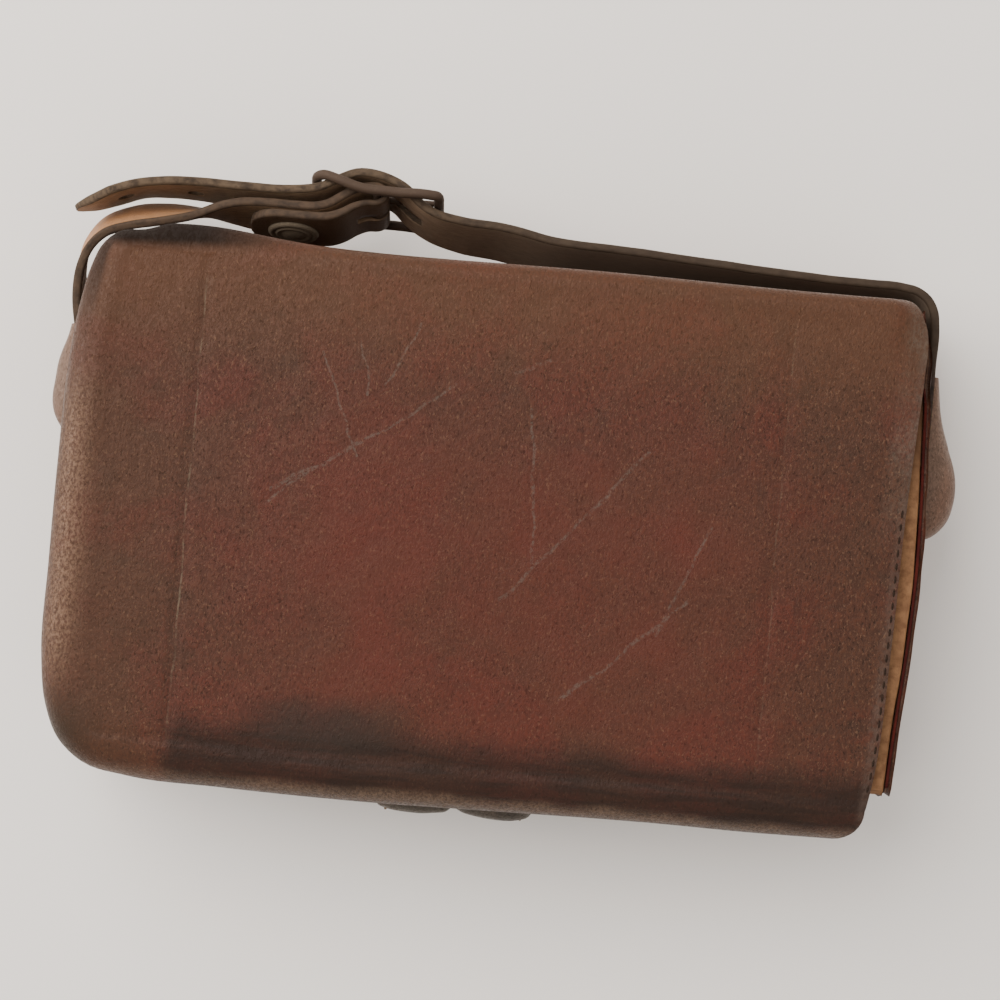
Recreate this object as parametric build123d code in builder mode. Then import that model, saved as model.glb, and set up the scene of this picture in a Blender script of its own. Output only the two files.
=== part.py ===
from build123d import *
from math import cos, hypot, radians, sin
import os

# A stiff leather camera case, lying on its base with the moulded lid uppermost.
# The origin is the centre of the base. +Z is up, +Y is the side where the lid
# folds and the strap runs, and -Y is the side where the lid's tab closes.

# The tray
case_length = 201.0
case_width = 120.0
case_depth = 58.0
wall_hide = 3.0
bottom_bend = 6.0
upright_corner = 3.0
end_outer_hide = 2.0
end_ply_gap = 0.4
end_inner_hide = 3.6
end_edge_round = 1.8
end_front_step = 4.0
lining = 0.8
lining_drop = 1.5

# The lid
lid_hide = 3.0
lid_gap = 0.3
lip_left_gap = 2.5
lip_front_gap = 6.5
lip_depth = 13.0
lip_rear_end = 44.0
lid_roll = 8.0
lid_corner = 14.0
lid_right_corner = 10.0
lid_short_rear = 3.9
lid_short_mid = 4.7
lid_short_front = 7.5
lid_rear_slant = 16.0
lid_shift = -4.0
crease_left = -72.7
crease_right = 66.0
crease_front = 11.0
crease_end_gap = 4.0
crease_depth = 0.4
crease_width = 1.2
lid_lining_gap = 1.2

# The strap and its covers
strap_width = 19.0
strap_hide = 2.2
strap_skived = 1.5
strap_height = 28.0
strap_gap = 0.5
cover_hide = 1.6
cover_crown = 11.4
cover_width = 25.0
cover_round = 8.0
cover_shoulder = 0.62
cover_rise = 2.6
cover_crown_at = 12.0
cover_fall = 0.58
cover_fullness = 1.2
cover_flange = 3.0
cover_flange_hide = 1.5
hole_diameter = 4.0
hole_pitch = 17.0
rivet_shank = 4.0
rivet_head = 10.0
rivet_head_thick = 1.6
rivet_washer = 9.0
rivet_washer_thick = 0.7
rivet_fit = 0.1
rivet_inset = 7.0
corner_turn = 8.4
corner_stand_off = 4.8
tail_length = 76.0
tail_taper = 11.0
tail_point = 5.0
first_hole = 62.0
fold_gap = 0.25
fold_bend = 8.0
fold_inside = 4.6
fold_outer_end = 13.5
fold_inner_end = 11.5
chape_join = 25.0
chape_return = 30.5
stud_place = 20.0
stud_head = 12.4
stud_head_thick = 1.5
stud_washer = 8.4

# The buckle
buckle_x = -36.0
buckle_off_wall = 13.5
buckle_lean = 15.0
buckle_half = 15.0
buckle_bow = 3.6
wire = 2.2
rail_gap = 0.8
loop_gap = 0.2
prong_wire = 1.8
prong_gap = 0.3
prong_slot = 2.8
prong_slot_ease = 0.4
prong_slot_start = 1.45
prong_slot_end = 11.05
prong_overhang = 3.0

# The closing tab and its press stud
tab_hide = 2.6
tab_half = 18.5
tab_bulge = 3.5
tab_top_gap = 0.8
tab_bottom = 18.0
snap_height = 27.0
snap_cap_radius = 6.2
snap_cap_thick = 1.6
snap_shank_radius = 1.6
snap_socket_radius = 5.0
snap_bore_radius = 3.2
snap_socket_depth = 2.4
snap_floor = 0.6
post_head_radius = 2.1
post_neck_radius = 1.7
post_height = 2.8
post_foot_radius = 3.0
post_foot = 0.8
snap_press_angle = 10.0

# Places that follow from the sizes above
half_length = case_length / 2
half_width = case_width / 2
rim = case_depth - lid_hide - lid_gap
wrap_half = half_length - end_outer_hide
inner_face = wrap_half - end_ply_gap
bay_half_x = inner_face - end_inner_hide
bay_half_y = half_width - wall_hide
inner_bend = bottom_bend - wall_hide
lid_underside = case_depth - lid_hide
lid_left = -half_length - lip_left_gap - lid_hide
lid_front = -half_width - lip_front_gap - lid_hide
lip_bottom = case_depth - lip_depth

os.makedirs("parts", exist_ok=True)


def save(piece, name):
    """Label a finished piece and write it to its own file."""
    piece.label = name
    export_step(piece, f"parts/{name}.step")


# The plan of the tray, which rounds the four upright corners
with BuildPart() as tray_envelope:
    with BuildSketch(Plane.XY):
        RectangleRounded(case_length, case_width, upright_corner)
    extrude(amount=case_depth)

# Front wall, base and rear wall are one hide, bent twice
snap_x = lid_shift
tab_axis_z = lip_bottom - tab_top_gap / 2
press = radians(snap_press_angle)
socket_reach = tab_hide - snap_floor + snap_socket_depth / 2
post_height_z = tab_axis_z - (tab_axis_z - snap_height) * cos(press) + socket_reach * sin(press)

with BuildPart() as body_wrap:
    with BuildSketch(Plane.YZ):
        with BuildLine():
            FilletPolyline(
                (-half_width + wall_hide / 2, rim),
                (-half_width + wall_hide / 2, wall_hide / 2),
                (half_width - wall_hide / 2, wall_hide / 2),
                (half_width - wall_hide / 2, rim),
                radius=bottom_bend - wall_hide / 2,
            )
        trace(line_width=wall_hide)
    extrude(amount=wrap_half, both=True)
    with BuildSketch(Plane.XZ.offset(bay_half_y - 1)):
        with Locations((snap_x, post_height_z)):
            Circle(post_neck_radius + rivet_fit)
    extrude(amount=wall_hide + 2, mode=Mode.SUBTRACT)
    add(tray_envelope.part, mode=Mode.INTERSECT)
save(body_wrap.part, "body_wrap")

# The two ends: each is an outer ply over the hide's cut edge and an inner ply
# between the walls, whose raw edge shows along the rim
cover_foot = {"left": 8.5, "right": 3.0}
cover_run = {"left": 31.0, "right": 42.0}
cover_mouth = {"left": 8.6, "right": 4.4}
side_sign = {"left": -1, "right": 1}
rivet_y = {side: cover_foot[side] + 11.0 for side in side_sign}

for side, sign in side_sign.items():
    with BuildPart() as end_outer:
        with BuildSketch(Plane.YZ.offset(sign * wrap_half)):
            with BuildLine():
                Polyline(
                    (-half_width + end_front_step, rim),
                    (-half_width + end_front_step, rim - end_front_step),
                    (-half_width, rim - 2 * end_front_step),
                    (-half_width, 0),
                    (half_width, 0),
                    (half_width, rim),
                    close=True,
                )
            make_face()
            fillet(vertices().group_by(Axis.Y)[0], bottom_bend)
            with Locations((rivet_y[side], strap_height)):
                Circle(rivet_shank / 2 + rivet_fit, mode=Mode.SUBTRACT)
        extrude(amount=sign * end_outer_hide)
        top = faces().filter_by(Axis.Z).sort_by(Axis.Z)[-1]
        outer_edge = top.edges().filter_by(Axis.Y).sort_by(Axis.X)[-1 if sign > 0 else 0]
        fillet(outer_edge, end_edge_round)
        add(tray_envelope.part, mode=Mode.INTERSECT)
    save(end_outer.part, f"{side}_end_outer")

    with BuildPart() as end_inner:
        with BuildSketch(Plane.YZ.offset(sign * bay_half_x)):
            with Locations((0, wall_hide)):
                Rectangle(2 * bay_half_y, rim - wall_hide, align=(Align.CENTER, Align.MIN))
            fillet(vertices().group_by(Axis.Y)[0], inner_bend)
            with Locations((rivet_y[side], strap_height)):
                Circle(rivet_shank / 2 + rivet_fit, mode=Mode.SUBTRACT)
        extrude(amount=sign * end_inner_hide)
    save(end_inner.part, f"{side}_end_inner")

    with BuildPart() as end_lining:
        with BuildSketch(Plane.YZ.offset(sign * (bay_half_x - lining))):
            with Locations((0, bottom_bend)):
                Rectangle(
                    2 * (bay_half_y - lining),
                    rim - lining_drop - bottom_bend,
                    align=(Align.CENTER, Align.MIN),
                )
            with Locations((rivet_y[side], strap_height)):
                Circle(rivet_washer / 2 + 0.5, mode=Mode.SUBTRACT)
        extrude(amount=sign * lining)
    save(end_lining.part, f"{side}_lining")

# The lining of the base and of the two long walls
with BuildPart() as base_lining:
    with BuildSketch(Plane.XY.offset(wall_hide)):
        RectangleRounded(2 * bay_half_x, 2 * (half_width - bottom_bend), upright_corner)
    extrude(amount=lining)
save(base_lining.part, "base_lining")

for name, sign in (("front_lining", -1), ("rear_lining", 1)):
    with BuildPart() as wall_lining:
        with BuildSketch(Plane.XZ.offset(-sign * (bay_half_y - lining))):
            with Locations((0, bottom_bend)):
                Rectangle(
                    2 * bay_half_x,
                    rim - lining_drop - bottom_bend,
                    align=(Align.CENTER, Align.MIN),
                )
            if sign < 0:
                with Locations((snap_x, post_height_z)):
                    Circle(rivet_washer / 2 + 0.5, mode=Mode.SUBTRACT)
        extrude(amount=-sign * lining)
    save(wall_lining.part, name)


def cover_line(height, foot, run, mouth, skin):
    """Plan of a strap cover: distances off the end wall against places along it."""
    crown = height - skin
    return [
        (0, foot + skin),
        (crown * cover_shoulder, foot + cover_rise + skin * 0.8),
        (crown, foot + cover_crown_at),
        ((crown + mouth - skin) / 2 + cover_fullness, foot + run * cover_fall),
        (mouth - skin, foot + run),
    ]


def cover_body(side, skin, beyond):
    """A strap cover's outer form, or its hollow when a skin is taken off."""
    sign = side_sign[side]
    foot, run = cover_foot[side], cover_run[side]
    line = cover_line(cover_crown, foot, run, cover_mouth[side], skin)
    points = [(sign * (half_length + off), along) for off, along in line]
    width = cover_width - 2 * skin
    mouth_y = foot + run + beyond
    with BuildPart() as form:
        with BuildSketch(Plane.XY.offset(strap_height - width / 2)):
            with BuildLine():
                Spline(*points)
                if beyond:
                    Line(points[-1], (points[-1][0], mouth_y))
                Line((points[-1][0], mouth_y), (sign * half_length, mouth_y))
                Line((sign * half_length, mouth_y), points[0])
            make_face()
        extrude(amount=width)
        with BuildSketch(Plane.XZ.offset(-foot - run - beyond - 1)):
            with Locations((sign * half_length, strap_height)):
                RectangleRounded(2 * (cover_crown - skin) + 4, width, cover_round - skin)
        extrude(amount=run + beyond + 3, mode=Mode.INTERSECT)
    return form.part


# The moulded covers over the strap's two fixed ends, and the rivets they hide
for side, sign in side_sign.items():
    foot, run = cover_foot[side], cover_run[side]
    with BuildPart() as strap_cover:
        with BuildSketch(Plane.YZ.offset(sign * half_length)):
            with Locations((foot - cover_flange, strap_height)):
                Rectangle(
                    run + cover_flange,
                    cover_width + 2 * cover_flange,
                    align=(Align.MIN, Align.CENTER),
                )
            fillet(vertices().group_by(Axis.X)[0], cover_round)
        extrude(amount=sign * cover_flange_hide)
        add(cover_body(side, 0, 0))
        add(cover_body(side, cover_hide, 2), mode=Mode.SUBTRACT)
    save(strap_cover.part, f"{side}_strap_cover")

with BuildPart() as strap_rivets:
    for side, sign in side_sign.items():
        strap_face = half_length + strap_gap + strap_hide
        shank_end = bay_half_x - rivet_washer_thick
        with BuildSketch(Plane.YZ.offset(sign * strap_face)):
            with Locations((rivet_y[side], strap_height)):
                Circle(rivet_head / 2)
        extrude(amount=sign * rivet_head_thick)
        with BuildSketch(Plane.YZ.offset(sign * strap_face)):
            with Locations((rivet_y[side], strap_height)):
                Circle(rivet_shank / 2)
        extrude(amount=-sign * (strap_face - shank_end))
    heads = faces().filter_by(Axis.X)
    domes = heads.sort_by(Axis.X)[0].edges() + heads.sort_by(Axis.X)[-1].edges()
    fillet(domes, rivet_head_thick * 0.75)
save(strap_rivets.part, "strap_rivets")

with BuildPart() as strap_washers:
    for side, sign in side_sign.items():
        with BuildSketch(Plane.YZ.offset(sign * bay_half_x)):
            with Locations((rivet_y[side], strap_height)):
                Circle(rivet_washer / 2)
                Circle(rivet_shank / 2, mode=Mode.SUBTRACT)
        extrude(amount=-sign * rivet_washer_thick)
save(strap_washers.part, "strap_washers")

# The buckle's own plane leans outwards at its top edge, as the strap does there
lean = radians(buckle_lean)
bar_direction = (0, sin(lean), cos(lean))
buckle_plane = Plane(
    origin=(buckle_x, half_width + buckle_off_wall, strap_height),
    x_dir=(1, 0, 0),
    z_dir=bar_direction,
)
loop_radius = wire / 2 + loop_gap + strap_skived / 2
rail_off = strap_width / 2 + rail_gap + wire / 2


def strap_places(points, outward):
    """Planes square to a strap's run: each point gives x, y, z and the outward lean."""
    places = []
    for index, (x, y, z, tilt) in enumerate(points):
        before = points[max(index - 1, 0)]
        after = points[min(index + 1, len(points) - 1)]
        length = hypot(after[0] - before[0], after[1] - before[1])
        along = ((after[0] - before[0]) / length, (after[1] - before[1]) / length)
        out = (outward * along[1], -outward * along[0])
        turn = radians(tilt)
        across = (sin(turn) * out[0], sin(turn) * out[1], cos(turn))
        places.append(Plane(origin=(x, y, z), x_dir=across, z_dir=(along[0], along[1], 0)))
    return places


# The billet end of the strap: out of the right cover, round the corner, along
# the rear wall, through the buckle and on as the free tail
strap_line = half_length + strap_gap + strap_hide / 2
corner_x = strap_line - corner_turn
corner_y = half_width + corner_stand_off - corner_turn
h = strap_height
corner_points = [
    (
        corner_x + corner_turn * cos(radians(angle)),
        corner_y + corner_turn * sin(radians(angle)),
        h,
        0,
    )
    for angle in (0, 22.5, 45, 67.5, 90)
]
# along the rear wall, each point gives its place along the case, how far off the
# wall it is and how it leans: first measured from the right end, then along the
# middle, then from the buckle's centre bar, over it and on to the tail's tip
from_right_end = [(-14.5, 4.7, 3), (-22.5, 4.2, 7), (-38.5, 3.9, 11)]
along_middle = [(43, 4.8, 13), (24, 6.5, 14), (4, 8.0, 15)]
from_buckle = [
    (27, 9.0, 15),
    (19, 9.8, 15),
    (13.5, 10.5, 15),
    (9.5, 12.6, 15),
    (5, 16.4, 15),
    (0.5, 18.1, 15),
    (-4.5, 18.5, 15),
    (-9, 16.5, 15),
    (-13, 14.4, 15),
    (-17, 13.4, 15),
    (-24, 13.1, 12),
    (-34, 13.5, 9),
    (-44, 14.0, 6),
    (-52, 13.8, 4),
    (-58.5, 12.9, 2),
    (-64, 10.9, 2),
    (-69, 8.6, 1),
    (-74, 6.6, 0),
]
billet_points = [
    (strap_line, rivet_y["right"] - rivet_inset, h, 0),
    (strap_line, half_width / 2, h, 0),
    (strap_line, half_width - 14, h, 0),
    *corner_points,
    *[(half_length + x, half_width + off, h, tilt) for x, off, tilt in from_right_end],
    *[(x, half_width + off, h, tilt) for x, off, tilt in along_middle],
    *[(buckle_x + x, half_width + off, h, tilt) for x, off, tilt in from_buckle],
]
with BuildPart() as strap_billet:
    for place in strap_places(billet_points, 1):
        with BuildSketch(place):
            Rectangle(strap_width, strap_hide)
    loft(ruled=True)
    with BuildSketch(Plane.YZ.offset(half_length - 1)):
        with Locations((rivet_y["right"], strap_height)):
            Circle(rivet_shank / 2)
    extrude(amount=strap_hide + 3, mode=Mode.SUBTRACT)
    # the slot that the prong passes through
    with BuildSketch(buckle_plane):
        with Locations(((prong_slot_end - prong_slot_start) / 2, 1.0)):
            Rectangle(prong_slot_end + prong_slot_start, 16)
    extrude(amount=prong_slot / 2 + prong_slot_ease, both=True, mode=Mode.SUBTRACT)
    # punched holes along the free tail
    hole_x = buckle_x - first_hole
    with BuildSketch(Plane.XZ.offset(-half_width - 8)):
        with Locations((hole_x, h), (hole_x + hole_pitch, h), (hole_x + 2 * hole_pitch, h)):
            Circle(hole_diameter / 2)
    extrude(amount=-12, mode=Mode.SUBTRACT)
    # the tail's end is cut to a blunt point
    tail_end = buckle_x - tail_length
    taper_start = tail_end + tail_taper
    with BuildSketch(Plane.XZ.offset(-half_width)):
        for up in (-1, 1):
            with BuildLine():
                Polyline(
                    (tail_end, h + up * tail_point / 2),
                    (taper_start, h + up * (strap_width / 2 + 0.2)),
                    (taper_start, h + up * strap_width),
                    (tail_end, h + up * strap_width),
                    close=True,
                )
            make_face()
    extrude(amount=-14, mode=Mode.SUBTRACT)
save(strap_billet.part, "strap_billet")

# The chape end: out of the left cover, twisting round the corner, then folded
# round the buckle's centre bar and back on itself
layer = -fold_inside
return_layer = layer - strap_hide - fold_gap
join = buckle_plane.from_local_coords(Vector(-chape_join, layer, 0))
near = buckle_plane.from_local_coords(Vector(-chape_join - 6, layer, 0))
# round the corner, each point gives how far past the left end it is, how far in
# front of the rear wall's face, and its lean
round_corner = [
    (1.6, -35, 0),
    (2.9, -29, 0),
    (4.8, -22.5, 0),
    (6.5, -15, -3),
    (6.9, -8, -7),
    (5.4, -1.8, -11),
    (1.8, 2.6, -13),
    (-4.5, 5.2, -14),
]
# from there to the buckle: the share of the way, off the wall, above, and lean
corner_end_x = -half_length + 12.5
to_buckle = [(0.0, 6.6, 0.2, -12), (0.385, 7.6, 0.5, -6), (0.72, 8.8, 0.9, 5)]
chape_points = [
    (-strap_line, rivet_y["left"] - rivet_inset, h, 0),
    *[(-half_length - past, half_width + y, h, tilt) for past, y, tilt in round_corner],
    *[
        (corner_end_x + share * (near.X - corner_end_x), half_width + off, h + rise, tilt)
        for share, off, rise, tilt in to_buckle
    ],
    (near.X, near.Y, near.Z, buckle_lean - 2),
    (join.X, join.Y, join.Z, buckle_lean),
    (join.X + 1, join.Y, join.Z, buckle_lean),
]
with BuildPart() as strap_chape:
    for place in strap_places(chape_points, -1):
        with BuildSketch(place):
            Rectangle(strap_width, strap_hide)
    loft(ruled=True)
    with BuildSketch(buckle_plane):
        with BuildLine():
            FilletPolyline(
                (-chape_join, layer),
                (-fold_outer_end, layer),
                (-4.5, loop_radius - 0.1),
                radius=fold_bend,
            )
        trace(line_width=strap_hide)
        with BuildLine():
            FilletPolyline(
                (-chape_return, return_layer),
                (-fold_inner_end, return_layer),
                (-3.5, -loop_radius - 0.1),
                radius=fold_bend,
            )
        trace(line_width=strap_hide)
        with BuildLine():
            Line((-5.2, loop_radius - 0.45), (0, loop_radius))
            CenterArc((0, 0), loop_radius, 90, -180)
            Line((0, -loop_radius), (-4.2, -loop_radius - 0.4))
        trace(line_width=strap_skived)
    extrude(amount=strap_width / 2, both=True)
    with BuildSketch(buckle_plane):
        with Locations((-0.4, 0)):
            Rectangle(8.4, 9)
    extrude(amount=prong_slot / 2, both=True, mode=Mode.SUBTRACT)
    with BuildSketch(buckle_plane):
        Circle(wire / 2 + loop_gap)
    extrude(amount=strap_width, both=True, mode=Mode.SUBTRACT)
    with BuildSketch(Plane.YZ.offset(-half_length - 3)):
        with Locations((rivet_y["left"], strap_height)):
            Circle(rivet_shank / 2)
    extrude(amount=6, mode=Mode.SUBTRACT)
    # the hole for the button stud, square to both layers
    stud_seat = return_layer - strap_hide / 2
    stud_plane = Plane(
        origin=buckle_plane.from_local_coords(Vector(-stud_place, stud_seat, 0)),
        x_dir=(1, 0, 0),
        z_dir=buckle_plane.y_dir,
    )
    with BuildSketch(stud_plane):
        Circle(rivet_shank / 2 + rivet_fit)
    extrude(amount=2 * strap_hide + 1, both=True, mode=Mode.SUBTRACT)
save(strap_chape.part, "strap_chape")

# The button stud that holds the folded strap: a domed head on the case's side
with BuildPart() as chape_stud:
    stack = 2 * strap_hide + fold_gap
    with BuildSketch(stud_plane):
        Circle(stud_head / 2)
    extrude(amount=-stud_head_thick)
    fillet(edges().filter_by(GeomType.CIRCLE).sort_by(Axis.Y)[0], stud_head_thick * 0.75)
    with BuildSketch(stud_plane):
        Circle(rivet_shank / 2)
    extrude(amount=stack)
    with BuildSketch(stud_plane.offset(stack)):
        Circle(stud_washer / 2)
    extrude(amount=rivet_washer_thick)
save(chape_stud.part, "chape_stud")

# The buckle: a wire frame with a centre bar, bowed at its far end so that the
# tail lies under it
with BuildPart() as buckle_frame:
    corners = [(buckle_half, 0), (-4.0, 0), (-buckle_half, buckle_bow)]
    for off in (-rail_off, rail_off):
        rail_plane = buckle_plane.offset(off)
        rail_points = [rail_plane.from_local_coords(Vector(x, y, 0)) for x, y in corners]
        with BuildLine() as rail_line:
            FilletPolyline(*rail_points, radius=8)
        with BuildSketch(Plane(origin=rail_points[0], z_dir=(-1, 0, 0))):
            Circle(wire / 2)
        sweep(path=rail_line.wires()[0])
        with Locations(rail_points[0], rail_points[-1]):
            Sphere(wire / 2)
    for x, y in (corners[0], corners[-1], (0, 0)):
        with BuildSketch(buckle_plane):
            with Locations((x, y)):
                Circle(wire / 2)
        extrude(amount=rail_off, both=True)
save(buckle_frame.part, "buckle_frame")

with BuildPart() as buckle_prong:
    ring_inner = wire / 2 + loop_gap / 2
    shank_radius = prong_wire / 2 - 0.1
    with BuildSketch(buckle_plane):
        Circle(ring_inner + prong_wire)
        Circle(ring_inner, mode=Mode.SUBTRACT)
    extrude(amount=prong_wire / 2, both=True)
    shank_root = ring_inner + prong_wire / 2
    shank_tip = wire / 2 + prong_gap + prong_wire / 2
    start = buckle_plane.from_local_coords(Vector(0, shank_root, 0))
    tip = buckle_plane.from_local_coords(Vector(buckle_half + prong_overhang, shank_tip, 0))
    with BuildSketch(Plane(origin=start, z_dir=tip - start)):
        Circle(shank_radius)
    extrude(amount=(tip - start).length)
    fillet(edges().filter_by(GeomType.CIRCLE).sort_by(Axis.X)[-1], shank_radius * 0.9)
save(buckle_prong.part, "buckle_prong")

# The lid: a flat panel whose left and front edges roll over into a hanging lip
roll_x = lid_left + lid_roll
roll_y = lid_front + lid_roll
roll_z = case_depth - lid_roll
path_corner = lid_corner - lid_roll
right_rear = half_length - lid_short_rear
right_mid = half_length - lid_short_mid
right_front = half_length - lid_short_front
right_front_y = -half_width + 3
lid_slant_x = lid_left + 3.0

with BuildPart() as lid_panel:
    with BuildLine() as lip_run:
        FilletPolyline(
            (roll_x, lip_rear_end, roll_z),
            (roll_x, roll_y, roll_z),
            (half_length + 10, roll_y, roll_z),
            radius=path_corner,
        )
    lip_plane = Plane(origin=(roll_x, lip_rear_end, roll_z), x_dir=(1, 0, 0), z_dir=(0, -1, 0))
    with BuildSketch(lip_plane):
        with BuildLine():
            CenterArc((0, 0), lid_roll, 90, 90)
            Line((-lid_roll, 0), (-lid_roll, lip_bottom - roll_z))
            Line((-lid_roll, lip_bottom - roll_z), (-lid_roll + lid_hide, lip_bottom - roll_z))
            Line((-lid_roll + lid_hide, lip_bottom - roll_z), (-lid_roll + lid_hide, 0))
            CenterArc((0, 0), lid_roll - lid_hide, 90, 90)
            Line((0, lid_roll - lid_hide), (0, lid_roll))
        make_face()
    sweep(path=lip_run.wires()[0])
    with BuildSketch(Plane.XY.offset(lid_underside)):
        with BuildLine():
            Line((roll_x, lip_rear_end), (roll_x, roll_y + path_corner))
            CenterArc((roll_x + path_corner, roll_y + path_corner), path_corner, 180, 90)
            Line((roll_x + path_corner, roll_y), (half_length + 10, roll_y))
            Line((half_length + 10, roll_y), (half_length + 10, half_width))
            Line((half_length + 10, half_width), (lid_left + 14, half_width))
            ThreePointArc(
                (lid_left + 14, half_width),
                (lid_left + 7, half_width - 4),
                (lid_slant_x, half_width - lid_rear_slant),
            )
            Line((lid_slant_x, half_width - lid_rear_slant), (roll_x, lip_rear_end))
        make_face()
    extrude(amount=lid_hide)
    # the right edge is cut short of the tray and runs back towards the front
    corner_start = (right_front - lid_right_corner, lid_front)
    with BuildSketch(Plane.XY.offset(lip_bottom - 1)):
        with BuildLine():
            ThreePointArc(
                (right_rear, half_width),
                (right_mid, 0),
                (right_front, right_front_y),
            )
            ThreePointArc(
                (right_front, right_front_y),
                (right_front - 3.6, lid_front + 3.4),
                corner_start,
            )
            Line(corner_start, (corner_start[0], lid_front - 5))
            Line((corner_start[0], lid_front - 5), (half_length + 15, lid_front - 5))
            Line((half_length + 15, lid_front - 5), (half_length + 15, half_width))
            Line((half_length + 15, half_width), (right_rear, half_width))
        make_face()
    extrude(amount=lip_depth + 2, mode=Mode.SUBTRACT)
    # creases pressed in the top
    with BuildSketch(Plane.XY.offset(case_depth)):
        with Locations((crease_left, 0), (crease_right, 0)):
            Rectangle(crease_width, 2 * (half_width - crease_end_gap))
        with Locations((lid_shift, lid_front + crease_front)):
            Rectangle(2 * (half_length - lid_roll), crease_width)
    extrude(amount=-crease_depth, mode=Mode.SUBTRACT)
save(lid_panel.part, "lid_panel")

with BuildPart() as lid_lining:
    with BuildSketch(Plane.XY.offset(lid_underside)):
        RectangleRounded(
            2 * (bay_half_x - lining - lid_lining_gap),
            2 * (bay_half_y - lining - lid_lining_gap),
            upright_corner,
        )
    extrude(amount=-lining)
save(lid_lining.part, "lid_lining")

# The closing tab hangs from the front lip; each section gives its height, half
# width, the bulge of its two sides and the depth of the dimple between them
tab_top = lip_bottom - tab_top_gap
tab_sections = [
    (tab_top, tab_half, 0.0, 0.0),
    (tab_top - 4, tab_half, tab_bulge, 0.8),
    (tab_top - 9, tab_half - 0.5, tab_bulge, 0.6),
    (snap_height, tab_half - 3, tab_bulge * 0.6, 0.3),
    (tab_bottom + 3, tab_half - 8, 0.8, 0.2),
    (tab_bottom, 6.0, 0.1, 0.0),
]
with BuildPart() as closing_tab:
    for height, half, bulge, dimple in tab_sections:
        outer = [
            (snap_x - half, lid_front),
            (snap_x - half * 0.52, lid_front - bulge),
            (snap_x, lid_front - dimple),
            (snap_x + half * 0.52, lid_front - bulge),
            (snap_x + half, lid_front),
        ]
        inner = [(x, y + tab_hide) for x, y in outer]
        with BuildSketch(Plane.XY.offset(height)):
            with BuildLine():
                Spline(*outer)
                Line(outer[-1], inner[-1])
                Spline(*inner)
                Line(inner[0], outer[0])
            make_face()
    loft(ruled=True)
    cap_seat = lid_front - 0.3
    with BuildSketch(Plane.XZ.offset(-cap_seat)):
        with Locations((snap_x, snap_height)):
            Circle(snap_cap_radius + 0.2)
    extrude(amount=6, mode=Mode.SUBTRACT)
    with BuildSketch(Plane.XZ.offset(-cap_seat + 1)):
        with Locations((snap_x, snap_height)):
            Circle(snap_shank_radius)
    extrude(amount=-6, mode=Mode.SUBTRACT)
save(closing_tab.part, "closing_tab")

# The press stud: cap and socket on the tab, post and washer on the front wall
snap_axis = Axis((snap_x, 0, snap_height), (0, 1, 0))
socket_base = lid_front + tab_hide
with BuildPart() as snap_cap:
    with BuildSketch(Plane.XZ.offset(-cap_seat)):
        with Locations((snap_x, snap_height)):
            Circle(snap_cap_radius)
    extrude(amount=snap_cap_thick)
    fillet(edges().sort_by(Axis.Y)[0], snap_cap_thick * 0.85)
    with BuildSketch(Plane.XZ.offset(-cap_seat)):
        with Locations((snap_x, snap_height)):
            Circle(snap_shank_radius)
    extrude(amount=-(socket_base + snap_floor - cap_seat))
save(snap_cap.part, "snap_cap")

with BuildPart() as snap_socket:
    with BuildSketch(Plane.XY.offset(snap_height)):
        with BuildLine():
            Polyline(
                (snap_x + snap_shank_radius, socket_base),
                (snap_x + snap_socket_radius, socket_base),
                (snap_x + snap_socket_radius, socket_base + snap_socket_depth - 0.5),
                (snap_x + snap_socket_radius - 0.5, socket_base + snap_socket_depth),
                (snap_x + snap_bore_radius, socket_base + snap_socket_depth),
                (snap_x + snap_bore_radius, socket_base + snap_floor),
                (snap_x + snap_shank_radius, socket_base + snap_floor),
                close=True,
            )
        make_face()
    revolve(axis=snap_axis)
save(snap_socket.part, "snap_socket")

post_axis = Axis((snap_x, 0, post_height_z), (0, 1, 0))
with BuildPart() as snap_post:
    wall_face = -half_width
    with BuildSketch(Plane.XY.offset(post_height_z)):
        with BuildLine():
            Polyline(
                (snap_x, wall_face - post_height),
                (snap_x + post_head_radius * 0.6, wall_face - post_height),
                (snap_x + post_head_radius, wall_face - post_height + 0.6),
                (snap_x + post_head_radius, wall_face - post_height + 1.1),
                (snap_x + post_neck_radius, wall_face - post_height + 1.5),
                (snap_x + post_neck_radius, wall_face - post_foot),
                (snap_x + post_foot_radius, wall_face - post_foot),
                (snap_x + post_foot_radius, wall_face),
                (snap_x + post_neck_radius, wall_face),
                (snap_x + post_neck_radius, -bay_half_y + rivet_washer_thick),
                (snap_x, -bay_half_y + rivet_washer_thick),
                close=True,
            )
        make_face()
    revolve(axis=post_axis)
save(snap_post.part, "snap_post")

with BuildPart() as snap_post_washer:
    with BuildSketch(Plane.XZ.offset(bay_half_y)):
        with Locations((snap_x, post_height_z)):
            Circle(rivet_washer / 2)
            Circle(post_neck_radius, mode=Mode.SUBTRACT)
    extrude(amount=-rivet_washer_thick)
save(snap_post_washer.part, "snap_post_washer")
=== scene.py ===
from math import radians, tau

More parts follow.
